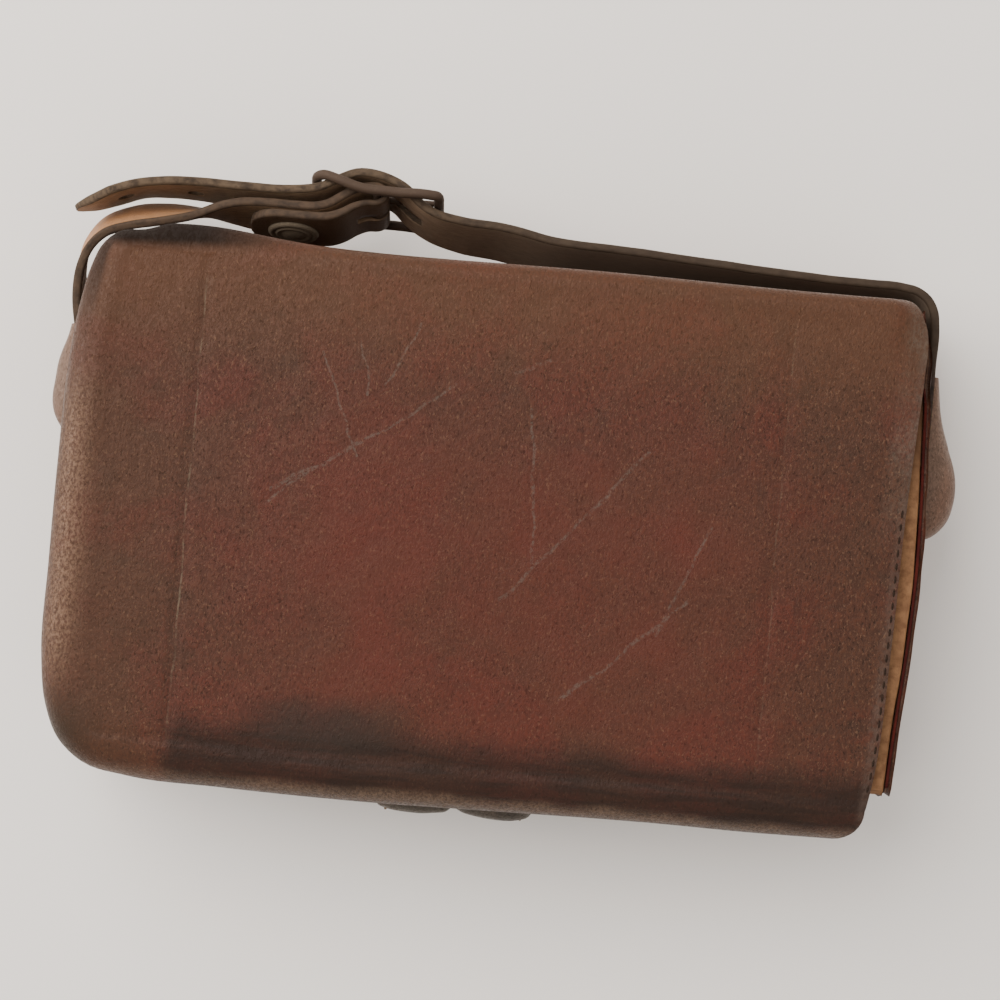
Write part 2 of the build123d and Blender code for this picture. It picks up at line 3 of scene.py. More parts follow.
import bmesh
import bpy
import numpy as np
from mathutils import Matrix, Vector


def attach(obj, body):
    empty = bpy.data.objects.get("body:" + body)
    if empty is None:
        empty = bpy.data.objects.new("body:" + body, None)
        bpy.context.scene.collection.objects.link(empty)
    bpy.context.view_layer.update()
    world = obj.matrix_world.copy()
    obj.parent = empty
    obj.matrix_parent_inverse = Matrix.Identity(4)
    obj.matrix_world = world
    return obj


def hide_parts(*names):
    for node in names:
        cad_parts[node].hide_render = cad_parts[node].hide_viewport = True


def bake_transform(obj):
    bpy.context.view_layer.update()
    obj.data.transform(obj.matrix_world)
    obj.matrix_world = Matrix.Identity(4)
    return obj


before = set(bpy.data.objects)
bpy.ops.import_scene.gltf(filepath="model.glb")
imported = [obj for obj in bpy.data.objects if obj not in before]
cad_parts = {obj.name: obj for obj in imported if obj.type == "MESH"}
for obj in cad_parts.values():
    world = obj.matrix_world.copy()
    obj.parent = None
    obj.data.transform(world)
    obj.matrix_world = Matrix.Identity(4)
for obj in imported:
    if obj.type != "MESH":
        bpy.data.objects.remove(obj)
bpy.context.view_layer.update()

# Shapes are worked out in millimetres and turned to metres when a mesh is made
MM = 0.001

# The tray
HALF_LENGTH = 100.5
HALF_WIDTH = 60.0
TOP = 58.0
RIM = 54.7
WALL_HIDE = 2.6
BOTTOM_BEND = 6.0
WRAP_HALF = 98.5
BAY_HALF_X = 94.5
BAY_HALF_Y = 57.0

# The lid
ROLL = 8.0
LIP_BOTTOM = 45.0
FOLD = 4.0
CREASES = (-72.7, 66.0)
FRONT_CREASE = -58.5
LID_FRONT = -69.5
CORNER_SINK = 3.2

# How far each end leans in at its rear corner and along its rim, and where and how far its rim dips
LEAN = {-1: (6.0, 2.4), 1: (3.0, 2.6)}
DIP = {-1: (44.0, 56.0, 10.0), 1: (34.0, 46.0, 9.0)}

# The strap, the buckle and the tab's press stud
STRAP_WIDTH = 19.0
STRAP_HIDE = 2.2
STRAP_HEIGHT = 28.0
BUCKLE_AT = np.array([-36.0, 73.5, 28.0])
BUCKLE_LEAN = radians(15.0)
WIRE = 2.2
SNAP_X = -4.0
# The lining is pressed in about each washer within the first radius, easing out to the second
WASHER_DENT = (4.8, 6.2)


# Curves and surfaces as whole arrays

def smooth(value, low, high):
    """0 below low, 1 above high, and an S-shaped cubic between them."""
    t = np.clip((np.asarray(value, float) - low) / (high - low), 0, 1)
    return t * t * (3 - 2 * t)


def bell(value, middle, reach):
    """A bell curve of height 1 about middle."""
    return np.exp(-(((np.asarray(value, float) - middle) / reach) ** 2))


def travelled(points):
    """How far along a line each of its points lies."""
    return np.r_[0, np.cumsum(np.linalg.norm(np.diff(points, axis=0), axis=1))]


def unit(vectors):
    """Vectors brought to a length of 1."""
    return vectors / np.linalg.norm(vectors, axis=-1, keepdims=True)


def xyz(x, y, z):
    """Points from arrays or numbers for x, y and z."""
    return np.stack(np.broadcast_arrays(x, y, z), axis=-1)


def around(count):
    """Evenly spaced angles, once round a circle."""
    return np.linspace(0, tau, count + 1)[:-1]


def through(points, count):
    """A smooth line through points: cubic pieces whose slope at each point is that of its neighbours."""
    p = np.asarray(points, float)
    t = travelled(p[:, :3])
    slope = np.gradient(p, t, axis=0)
    s = np.linspace(0, t[-1], count)
    i = np.clip(np.searchsorted(t, s, side="right") - 1, 0, len(t) - 2)
    h = (t[i + 1] - t[i])[:, None]
    u = (s - t[i])[:, None] / h
    return (
        (2 * u**3 - 3 * u**2 + 1) * p[i]
        + (u**3 - 2 * u**2 + u) * h * slope[i]
        + (3 * u**2 - 2 * u**3) * p[i + 1]
        + (u**3 - u**2) * h * slope[i + 1]
    )


def ripple(x, y, seed, size):
    """A gentle unevenness from -1 to 1: the mean of four plane waves with seeded directions."""
    rng = np.random.default_rng(seed)
    total = 0
    for _ in range(4):
        angle, phase = rng.uniform(0, tau, 2)
        pitch = size * rng.uniform(0.6, 1.6)
        total = total + np.sin(tau * (x * np.cos(angle) + y * np.sin(angle)) / pitch + phase)
    return total / 4


def stations(start, stop, step, marks=(), fine=0.5, reach=4.0):
    """Places from start to stop, step apart, and fine apart near the marks, from a summed density."""
    x = np.linspace(start, stop, 4000)
    near = sum((bell(x, m, reach) for m in marks), np.zeros_like(x))
    density = 1 / step + np.clip(near, 0, 1) * (1 / fine - 1 / step)
    total = np.r_[0, np.cumsum((density[1:] + density[:-1]) / 2 * np.diff(x))]
    return np.interp(np.linspace(0, total[-1], int(total[-1]) + 2), total, x)


def coons(front, rear, left, right, u, v):
    """A grid inside four edge lines: the two ruled surfaces added, less the one from the corners."""
    u, v = u[:, None, None], v[None, :, None]
    ruled = (1 - v) * front[:, None] + v * rear[:, None] + (1 - u) * left[None] + u * right[None]
    corners = (1 - u) * ((1 - v) * front[0] + v * rear[0]) + u * ((1 - v) * front[-1] + v * rear[-1])
    return ruled - corners


def grid_faces(rows, columns, close_rows=False, close_columns=False, start=0):
    """Four-sided faces of a grid of points, wrapped round where it is closed."""
    i = np.arange(rows if close_rows else rows - 1)[:, None]
    j = np.arange(columns if close_columns else columns - 1)[None, :]
    i, j = np.broadcast_arrays(i, j)
    i2, j2 = (i + 1) % rows, (j + 1) % columns
    corners = [i * columns + j, i2 * columns + j, i2 * columns + j2, i * columns + j2]
    return start + np.stack([c.ravel() for c in corners], axis=1)


# Grid options of a round bar with flat ends
TUBE = {"close_columns": True, "caps": True}


def piece(name, grids, finishes, outward=False, flip=False):
    """A mesh object from grids of points in millimetres, with each point's place kept for its finish.

    Each grid comes with the options of grid_faces, and may add "paint", a finish number for each of
    its columns, and "caps", which closes its first and last row with a flat face."""
    points, faces, paint, count = [], [], [], 0
    for grid, options in grids:
        rows, columns = grid.shape[:2]
        closed = {key: options[key] for key in ("close_rows", "close_columns") if key in options}
        quads = grid_faces(rows, columns, start=count, **closed).tolist()
        across = columns if options.get("close_columns") else columns - 1
        painted = np.broadcast_to(options.get("paint", 0), (len(quads) // across, across))
        points.append(grid.reshape(-1, 3))
        faces += quads
        paint += painted.ravel().tolist()
        if options.get("caps"):
            first = list(range(count, count + columns))
            last = list(range(count + (rows - 1) * columns, count + rows * columns))
            faces += [first, last[::-1]]
            paint += [options.get("cap_paint", 0)] * 2
        count += rows * columns
    if flip:
        faces = [f[::-1] for f in faces]
    points = np.concatenate(points)
    mesh = bpy.data.meshes.new(name)
    mesh.from_pydata((points * MM).tolist(), [], faces)
    mesh.polygons.foreach_set("material_index", paint)
    work = bmesh.new()
    work.from_mesh(mesh)
    bmesh.ops.remove_doubles(work, verts=work.verts, dist=1e-6)
    if outward:
        bmesh.ops.recalc_face_normals(work, faces=work.faces)
    work.to_mesh(mesh)
    work.free()
    keep_place(mesh)
    mesh.polygons.foreach_set("use_smooth", np.ones(len(mesh.polygons), bool))
    for finish in finishes:
        mesh.materials.append(finish)
    made = bpy.data.objects.new(name, mesh)
    bpy.context.scene.collection.objects.link(made)
    return made


def keep_place(mesh):
    """Store each point's rest place in millimetres, so that a pattern stays on the leather as it bends."""
    co = np.zeros(len(mesh.vertices) * 3, np.float32)
    mesh.vertices.foreach_get("co", co)
    place = mesh.attributes.get("place") or mesh.attributes.new("place", "FLOAT_VECTOR", "POINT")
    place.data.foreach_set("vector", co / MM)


def thicken(made, thickness, edge=0.35, inner=1, rim=2):
    """Give a sheet its thickness inwards and soften the cut edge. The back and the edge take the
    finishes that come inner and rim places after the front's."""
    shell = made.modifiers.new("thickness", "SOLIDIFY")
    shell.thickness = thickness * MM
    shell.offset = -1
    shell.material_offset = inner
    shell.material_offset_rim = rim
    if edge:
        soft = made.modifiers.new("soft_edge", "BEVEL")
        soft.width = edge * MM
        soft.segments = 2
        soft.limit_method = "ANGLE"
        soft.angle_limit = radians(50)
    return made


# Shader maths and finishes

def linear(colour):
    """An sRGB colour of 0 to 255 as linear light."""
    c = np.array(colour) / 255
    return tuple(np.where(c <= 0.04045, c / 12.92, ((c + 0.055) / 1.055) ** 2.4)) + (1.0,)


class Value:
    """A shader socket that Python's operators work on, each adding a Math node."""

    def __init__(self, recipe, socket):
        self.recipe = recipe
        self.socket = socket

    def math(self, operation, *others):
        """Add a Math node that takes this value first."""
        return self.recipe.node(
            "ShaderNodeMath", {"operation": operation}, dict(enumerate((self, *others)))
        )

    def __add__(self, other):
        return self.math("ADD", other)

    def __mul__(self, other):
        return self.math("MULTIPLY", other)

    def __sub__(self, other):
        return self.math("SUBTRACT", other)

    def __rsub__(self, other):
        return self.recipe.node("ShaderNodeMath", {"operation": "SUBTRACT"}, {0: other, 1: self})

    def __pow__(self, other):
        return self.math("POWER", other)

    def __abs__(self):
        return self.math("ABSOLUTE")

    __radd__ = __add__
    __rmul__ = __mul__


class Recipe:
    """One finish: a material that starts from one ground colour, and the methods it is written with."""

    def __init__(self, name, ground, coords="place"):
        self.material = bpy.data.materials.new(name)
        self.material.use_nodes = True
        self.tree = self.material.node_tree
        self.shader = self.tree.nodes["Principled BSDF"]
        self.colour = linear(ground)
        if coords == "place":
            self.place = self.node("ShaderNodeAttribute", {"attribute_name": "place"}, out="Vector")
        else:
            object_place = self.node("ShaderNodeTexCoord", out="Object")
            self.place = self.node(
                "ShaderNodeVectorMath", {"operation": "SCALE"}, {0: object_place, "Scale": 1 / MM}
            )
        self.x, self.y, self.z = (
            self.node("ShaderNodeSeparateXYZ", None, {0: self.place}, out=axis) for axis in "XYZ"
        )

    def node(self, kind, settings=None, inputs=None, out=0):
        """Add a node: its settings first, then its inputs as values or links. Returns one output."""
        made = self.tree.nodes.new(kind)
        for key, value in (settings or {}).items():
            setattr(made, key, value)
        for key, value in (inputs or {}).items():
            if isinstance(value, Value):
                self.tree.links.new(value.socket, made.inputs[key])
            else:
                made.inputs[key].default_value = value
        return Value(self, made.outputs[out])

    def scaled(self, x=1.0, y=1.0, z=1.0):
        """The place stretched along the axes, for grain that is longer one way."""
        return self.node(
            "ShaderNodeVectorMath", {"operation": "MULTIPLY"}, {0: self.place, 1: (x, y, z)}
        )

    def noise(self, size, detail=2.0, rough=0.5, place=None, warp=0.0):
        """Cloudy noise whose features are about size millimetres across."""
        inputs = {"Vector": place or self.place, "Scale": 1 / size, "Detail": detail}
        inputs |= {"Roughness": rough, "Distortion": warp}
        return self.node("ShaderNodeTexNoise", None, inputs)

    def step(self, value, low, high):
        """0 at low and 1 at high, with a smooth turn, whichever of the two is larger."""
        return self.node(
            "ShaderNodeMapRange",
            {"interpolation_type": "SMOOTHSTEP"},
            {"Value": value, "From Min": low, "From Max": high},
        )

    def sway(self, size, detail, rough, reach):
        """Noise about 0, as wide as reach, that breaks up a straight border."""
        return (self.noise(size, detail, rough) - 0.5) * reach

    def mix(self, mask, a, b):
        """Colour a where the mask is 0 and b where it is 1."""
        return self.node("ShaderNodeMix", {"data_type": "RGBA"}, {0: mask, 6: a, 7: b}, out=2)

    def lay(self, mask, colour):
        """Lay an sRGB colour over what the finish has so far."""
        self.colour = self.mix(mask, self.colour, linear(colour))

    def bump(self, height, depth):
        """Relief from a height of 0 to 1 that stands for depth millimetres."""
        inputs = {"Height": height, "Distance": depth * MM, "Strength": 1.0}
        return self.node("ShaderNodeBump", None, inputs)

    def finish(self, roughness, normal=None, **fixed):
        """Join colour, roughness and relief to the shader; what is fixed is set on its sockets."""
        for key, value in (("Base Color", self.colour), ("Roughness", roughness), ("Normal", normal)):
            if isinstance(value, Value):
                self.tree.links.new(value.socket, self.shader.inputs[key])
            elif value is not None:
                self.shader.inputs[key].default_value = value
        for key, value in fixed.items():
            self.shader.inputs[key.replace("_", " ")].default_value = value
        return self.material


def line_mask(recipe, x, y, start, end, width):
    """1 on a straight scratch from start to end and 0 a width away from it."""
    span = np.subtract(end, start)
    length = float(np.hypot(*span))
    run = span / length
    along = (x - start[0]) * float(run[0]) + (y - start[1]) * float(run[1])
    held = along.math("MAXIMUM", 0.0).math("MINIMUM", length)
    off_x = x - (start[0] + held * float(run[0]))
    off_y = y - (start[1] + held * float(run[1]))
    return recipe.step((off_x * off_x + off_y * off_y) ** 0.5, width, width * 0.3)


def grained(recipe, colours, relief=0.07):
    """Lays the colours of aged grained hide: broad patches, smudges, fine grain and specks.
    Returns its relief, its pits and its grain."""
    warm, dark, smudge, pale = colours[1:]
    stretched = recipe.scaled(1.0, 0.6, 1.0)
    patch = 34.0
    fine = recipe.noise(0.6, 3.0, 0.7, place=stretched)
    middling = recipe.noise(1.7, 3.0, 0.65, place=stretched)
    broad = recipe.noise(patch, 4.0, 0.6, warp=0.7)
    cloud = recipe.noise(patch * 0.28, 4.0, 0.62, warp=0.4)
    recipe.lay(recipe.step(broad, 0.4, 0.62), warm)
    recipe.lay(recipe.step(cloud, 0.52, 0.72) * 0.5, smudge)
    grain = recipe.step(fine * 0.7 + middling * 0.3, 0.42, 0.58)
    recipe.lay((1 - grain) * 0.42, dark)
    pits = recipe.step(recipe.noise(0.62, 2.0, 0.5, place=stretched), 0.6, 0.69)
    recipe.lay(pits * 0.6, dark)
    specks = recipe.step(recipe.noise(0.5, 2.0, 0.6, place=stretched, warp=0.6), 0.58, 0.7)
    recipe.lay(specks * 0.32, pale)
    height = grain * 0.7 + (1 - pits) * 0.6 + specks * 0.2
    return recipe.bump(height, relief), pits, grain


# The hide's ground colour, then its warm, dark, smudged and pale tones
HIDE = ((65, 39, 26), (71, 35, 24), (30, 19, 13), (50, 35, 25), (118, 88, 65))

# Where the lid is scratched: two ends in millimetres and a width
SCRATCHES = (
    ((-43.7, 35.8), (-34.4, 11.9), 0.45),
    ((-35.1, 37.8), (-32.2, 26.3), 0.4),
    ((-54.5, -0.5), (-12.5, 30.4), 0.5),
    ((-53.6, 2.4), (-40.1, 9.7), 0.7),
    ((6.7, 26.3), (9.3, -10.1), 0.5),
    ((34.6, 18.2), (2.6, -18.9), 0.6),
    ((50.7, 2.0), (39.6, -23.8), 0.5),
    ((47.1, -14.9), (18.8, -41.1), 0.6),
    ((-20.8, 43.8), (-28.9, 28.9), 0.4),
    ((9.2, 38.3), (1.3, 34.0), 0.7),
)


def lid_finish():
    """The lid's worn hide: redder in the middle, dark along the front, and paler where it rolls over, from
    wear and from painted highlight and reflection, with painted shade along the rear left and beside the
    creases.
    """
    r = Recipe("lid_hide", HIDE[0])
    normal, pits, grain = grained(r, HIDE)
    x = r.x + r.sway(15.0, 4.0, 0.6, 5.0)
    y = r.y + r.sway(13.0, 4.0, 0.6, 5.0)
    crease_x = r.x + r.sway(24.0, 3.0, 0.6, 2.4)
    middle = r.step(abs(r.x - 5.0), 92.0, 30.0) * r.step(abs(r.y + 18.0), 62.0, 20.0)
    reds = r.step(r.noise(20.0, 4.0, 0.6), 0.36, 0.66)
    r.lay(middle * (0.25 + reds * 0.25), (81, 34, 25))
    r.lay(r.step(r.x, -62.0, -92.0) * 0.35, (66, 41, 26))
    r.lay(r.step(y, 24.0, 54.0) * 0.38, (84, 54, 34))
    top = r.step(r.z, 56.9, 57.8)
    low_y = y + r.sway(30.0, 2.0, 0.5, 5.0)
    front = r.step(low_y, FRONT_CREASE + 9, FRONT_CREASE + 1.0) * r.step(x, -76.0, -69.0)
    streaks = r.noise(2.4, 3.0, 0.6, place=r.scaled(0.12, 1.0, 1.0))
    r.lay(front * (0.68 + r.step(streaks, 0.42, 0.62) * 0.2), (29, 17, 10))
    stain = r.step(abs(r.x + 36.0), 26.0, 6.0) * r.step(abs(low_y + 52.0), 9.0, 1.5)
    r.lay(stain * 0.7, (33, 27, 21))
    corner = r.step(low_y, -44.0, -60.0) * r.step(x, -86.0, -99.0)
    r.lay(corner * 0.75, (38, 29, 19))
    rolled = r.step(r.z, 57.8, 56.8) * (0.35 + r.step(r.z, 50.5, 55.5) * 0.65)
    speckle = r.step(r.noise(0.6, 3.0, 0.7, place=r.scaled(1.0, 0.6, 0.6)), 0.38, 0.64)
    # painted highlight: a speckled sheen along the left roll, brightest a little inside its edge
    left_painted_sheen = r.step(x, -93.0, -101.5) * r.step(abs(y + 11.0), 44.0, 22.0) * r.step(r.x, -106.5, -101.5)
    r.lay(left_painted_sheen * (0.04 + speckle * 0.4), (140, 110, 88))
    # partly wear and partly a painted reflection of the pale floor: a paler grey band on the front roll
    front_wear_and_sheen = rolled * r.step(y, -64.5, -68.0) * (0.35 + r.step(x, -70.0, -40.0) * 0.2)
    r.lay(front_wear_and_sheen * (0.35 + speckle * 0.65) * 0.72, (130, 104, 83))
    # painted shadow: dark along the rear left edge where the strap's end lies over it, wrapped round the
    # rear left corner's roll, and made rougher there
    lower = y * 0.3 + r.y * 0.7 - (r.x + 70.0) * 0.06
    shaded = r.step(lower, 56.2, 59.6) * r.step(x, -48.0, -76.0) * r.step(r.z, 34.0, 54.0)
    round_corner_shadow = rolled * r.step(y, 30.0, 54.0) * r.step(r.x, -84.0, -95.0) * 0.75
    shaded = shaded.math("MAXIMUM", round_corner_shadow)
    r.lay(shaded * 0.95, (20, 12, 7))
    for place, strength in zip(CREASES, (0.28, 0.09)):
        broken = r.step(r.noise(4.0, 4.0, 0.85, place=r.scaled(1.0, 0.6, 1.0)), 0.42, 0.62)
        line = r.step(abs(crease_x - place), 0.34, 0.06) * (0.1 + broken * 0.9)
        # painted shade in the crease's dent, on its left side
        crease_shade = r.step(abs(crease_x - place + 1.0), 2.0, 0.2)
        held = top * r.step(r.y, FRONT_CREASE - 2.0, FRONT_CREASE + 8.0) * r.step(r.y, 55.0, 46.0)
        r.lay(crease_shade * strength * 0.6 * held, (38, 28, 20))
        r.lay(line * strength * held, (122, 112, 92))
    scratches = None
    for start, end, width in SCRATCHES:
        mark = line_mask(r, x, y, start, end, width)
        scratches = mark if scratches is None else scratches.math("MAXIMUM", mark)
    broken = scratches * r.step(r.noise(0.9, 4.0, 0.8), 0.4, 0.62)
    r.lay(broken * 0.5, (84, 74, 66))
    # the cut edge at the right runs slightly askew
    inside = 95.6 + r.y * 0.0475 - r.x
    edge = r.step(inside, 3.0, 0.4) * r.step(r.noise(2.0, 3.0, 0.7), 0.3, 0.6)
    r.lay(edge * 0.5, (74, 60, 52))
    bleached = r.step(inside, 8.0, 4.0) * r.step(y, -6.0, 30.0) * (0.25 + reds * 0.75)
    r.lay(bleached * (0.08 + speckle * 0.26), (106, 96, 84))
    roughness = 0.5 + pits * 0.2 + (0.5 - grain) * 0.2 - rolled * 0.1 + shaded * 0.35
    return r.finish(roughness, normal, Specular_IOR_Level=0.16)


def hide_finish(name, colours=HIDE, relief=0.07):
    """Plain aged hide for walls, covers and plies, paler where it is rubbed."""
    r = Recipe(name, colours[0])
    normal, pits, grain = grained(r, colours, relief)
    r.lay(r.step(r.noise(14.0, 4.0, 0.65), 0.52, 0.72) * 0.3, (104, 84, 70))
    return r.finish(0.48 + pits * 0.22 + (0.5 - grain) * 0.16, normal, Specular_IOR_Level=0.2)


def chape_finish():
    """The strap's short end: bare tan where it turns the corner, darker towards the fold."""
    tan = ((160, 119, 84), (164, 118, 82), (126, 90, 62), (146, 108, 77), (184, 150, 116))
    r = Recipe("chape_hide", tan[0])
    normal = grained(r, tan, 0.05)[0]
    # darker and a little glossier towards the fold
    darker_right = r.step(r.x + r.sway(12.0, 3.0, 0.6, 14.0), -88.0, -74.0)
    r.lay(darker_right * 0.88, (56, 45, 36))
    return r.finish(0.6 - darker_right * 0.1, normal, Specular_IOR_Level=0.15)


def cut_finish(name, fresh, dark, coords="place", low_shade=None, patchy=0.4, darker_right=None):
    """A cut leather edge: packed fibres in layers, burnished dark in places, with painted shade where it
    lies low or towards the rear, and where asked towards the right.
    """
    r = Recipe(name, fresh, coords)
    fibre = r.noise(0.9, 4.0, 0.7, place=r.scaled(0.35, 0.35, 2.2))
    r.lay(r.step(fibre, 0.35, 0.7), dark)
    r.lay(r.step(r.noise(9.0, 3.0, 0.6), 0.5, 0.75) * patchy, dark)
    # painted shade: the strap darker from its tail towards the right, where its run lies in shade
    if darker_right:
        r.lay(r.step(r.x, -70.0, 20.0) * 0.8, darker_right)
    # painted shade where the ply sits low down or towards the rear under the lid
    if low_shade:
        deep = r.step(r.z, 53.0, 46.0).math("MAXIMUM", r.step(r.y, 12.0, 40.0))
        r.lay(deep * 0.9, low_shade)
    return r.finish(0.75 + (fibre - 0.5) * 0.2, r.bump(fibre, 0.12), Specular_IOR_Level=0.2)


def plush_finish(name, deep, crushed, sheen):
    """Short-piled dark red lining with crushed patches."""
    r = Recipe(name, deep)
    pile = r.noise(0.35, 3.0, 0.7)
    crush = r.noise(11.0, 3.0, 0.6, warp=1.2)
    r.lay(r.step(crush, 0.4, 0.65), crushed)
    r.lay(r.step(pile, 0.45, 0.7) * 0.5, (60, 16, 18))
    relief = r.bump(pile + crush * 0.6, 0.25)
    return r.finish(0.92, relief, Sheen_Weight=sheen, Specular_IOR_Level=0.15)


def metal_finish(name, metal, stain, coords="place", bright=0.35, rough=0.42):
    """Old metal: dull where it is tarnished or rusted, brighter where it is rubbed."""
    r = Recipe(name, metal, coords)
    clouds = r.noise(1.8, 4.0, 0.7)
    fine = r.noise(0.35, 3.0, 0.6)
    dirty = r.step(clouds * 0.7 + fine * 0.4, bright, bright + 0.35)
    r.lay(dirty, stain)
    surface = r.finish(rough + dirty * 0.35, r.bump(fine + clouds, 0.06))
    r.tree.links.new((1 - dirty * 0.75).socket, r.shader.inputs["Metallic"])
    return surface


def thread_finish(name, worn, dirty):
    """Waxed linen thread with its twist."""
    r = Recipe(name, worn)
    twist = r.noise(0.25, 2.0, 0.5)
    r.lay(r.step(twist, 0.35, 0.7), dirty)
    return r.finish(0.8, r.bump(twist, 0.08), Specular_IOR_Level=0.1)


lid_hide = lid_finish()
wall_hide = hide_finish("wall_hide")
cover_hide = hide_finish(
    "cover_hide", ((106, 82, 68), (104, 76, 61), (64, 49, 40), (96, 78, 66), (144, 120, 104)), 0.04
)
tab_hide = hide_finish(
    "tab_hide", ((54, 46, 33), (52, 41, 30), (28, 23, 17), (45, 39, 29), (84, 74, 58)), 0.06
)
strap_hide = hide_finish(
    "strap_hide", ((82, 64, 50), (84, 61, 46), (42, 33, 26), (66, 54, 43), (122, 102, 84)), 0.05
)
chape_hide = chape_finish()
flesh = cut_finish("flesh_side", (110, 80, 58), (72, 50, 37), "object")
cut_edge = cut_finish("cut_edge", (66, 52, 44), (38, 29, 25), "object")
core = cut_finish("core_edge", (134, 97, 66), (104, 71, 47), low_shade=(82, 56, 40))
# the strap's cut edge, with painted shade towards the right
strap_edge = cut_finish("strap_edge", (84, 68, 52), (48, 37, 28), patchy=0.2, darker_right=(48, 37, 28))
chape_edge = cut_finish("chape_edge", (70, 54, 41), (48, 37, 29), patchy=0.3)
# the strap's inner face, with painted shade along the rear run
strap_flesh = cut_finish("strap_flesh", (136, 109, 83), (104, 82, 62), darker_right=(90, 79, 70))
ply_edge = cut_finish("ply_edge", (98, 70, 53), (66, 46, 35), "object")
plush = plush_finish("red_plush", (92, 26, 30), (110, 36, 37), 0.2)
rim_red = plush_finish("rim_red", (56, 17, 13), (72, 24, 17), 0.0)
dark_brass = metal_finish("dark_brass", (120, 98, 66), (58, 46, 34), "object")
buckle_wire = metal_finish("rusty_wire", (90, 73, 56), (61, 44, 31), bright=0.2)
stud_metal = metal_finish("stud_metal", (124, 110, 92), (95, 83, 68), bright=0.3, rough=0.55)
thread = thread_finish("linen_thread", (122, 100, 74), (66, 48, 34))
dark_thread = thread_finish("dark_thread", (46, 33, 25), (24, 17, 13))


def settle(made, body, slot, *nodes):
    """Put a finished piece on its body in place of its CAD nodes; slot is not used."""
    if body:
        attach(made, body)
    if nodes:
        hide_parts(*nodes)


def stitches(name, line, up, pitch, body, slot, finish=thread, radius=0.34):
    """Thread seen where it comes up: a row of short arcs along a line, each a tube of six sides."""
    travel = travelled(line)
    starts = (np.arange(int(travel[-1] / pitch)) + 0.15) * pitch
    t = np.linspace(0, 1, 7)
    at = starts[:, None] + t * pitch * 0.68
    arcs = np.stack([np.interp(at, travel, line[:, k]) for k in range(3)], axis=2)
    up = np.asarray(up, float)
    lift = np.sin(t * tau / 2) * radius * 1.1 - radius * 0.75
    arcs = arcs + up * lift[None, :, None]
    side = np.cross(unit(arcs[:, -1] - arcs[:, 0]), up)
    angle = around(6)[:, None]
    thick = radius * (0.55 + 0.45 * np.sin(t * tau / 2))
    ring = (side[:, None, None] * np.cos(angle) + up * np.sin(angle)) * thick[None, :, None, None]
    grids = [(tube, TUBE) for tube in arcs[:, :, None] + ring]
    settle(piece(name, grids, [finish], outward=True), body, slot)


# The moulded lid with the rear wall that it folds from

# Its plan from the rear fold's left end, round the left side and along the front
LID_PLAN = (
    (-89.0, 60.4), (-94.0, 60.0), (-98.4, 56.8), (-101.2, 51.0), (-103.0, 43.0), (-104.6, 28.0),
    (-105.1, 5.0), (-105.1, -20.0), (-104.8, -42.0), (-102.9, -53.2), (-98.9, -61.6), (-92.6, -66.6),
    (-82.0, -68.8), (-60.0, -69.6), (-28.0, -70.0), (6.0, -69.4), (40.0, -68.8), (70.0, -68.9),
    (94.0, -68.6),
)
# Its cut edge at the right, from the front to the rear
LID_RIGHT = (
    (92.4, -61.0), (93.2, -56.5), (95.2, -20.5), (95.7, 7.5), (96.6, 28.5), (97.4, 43.5), (97.8, 50.0),
    (97.2, 54.0), (96.2, 56.0),
)
LID_REAR = HALF_WIDTH - FOLD
FOLD_START = TOP - FOLD
# Rows of points over its bends and down its lip
ARC_ROWS, LIP_ROWS = 10, 6


def sample(array, at):
    """Rows of an array at places that may lie between its rows."""
    return np.stack([np.interp(at, np.arange(len(array)), column) for column in array.T], axis=1)


def between(along_x, left, right):
    """The lid's places along x, moved near its two ends so that they run from left to right."""
    return np.interp(along_x, [-99, -80, 80, 96], [left, -80, 80, right])


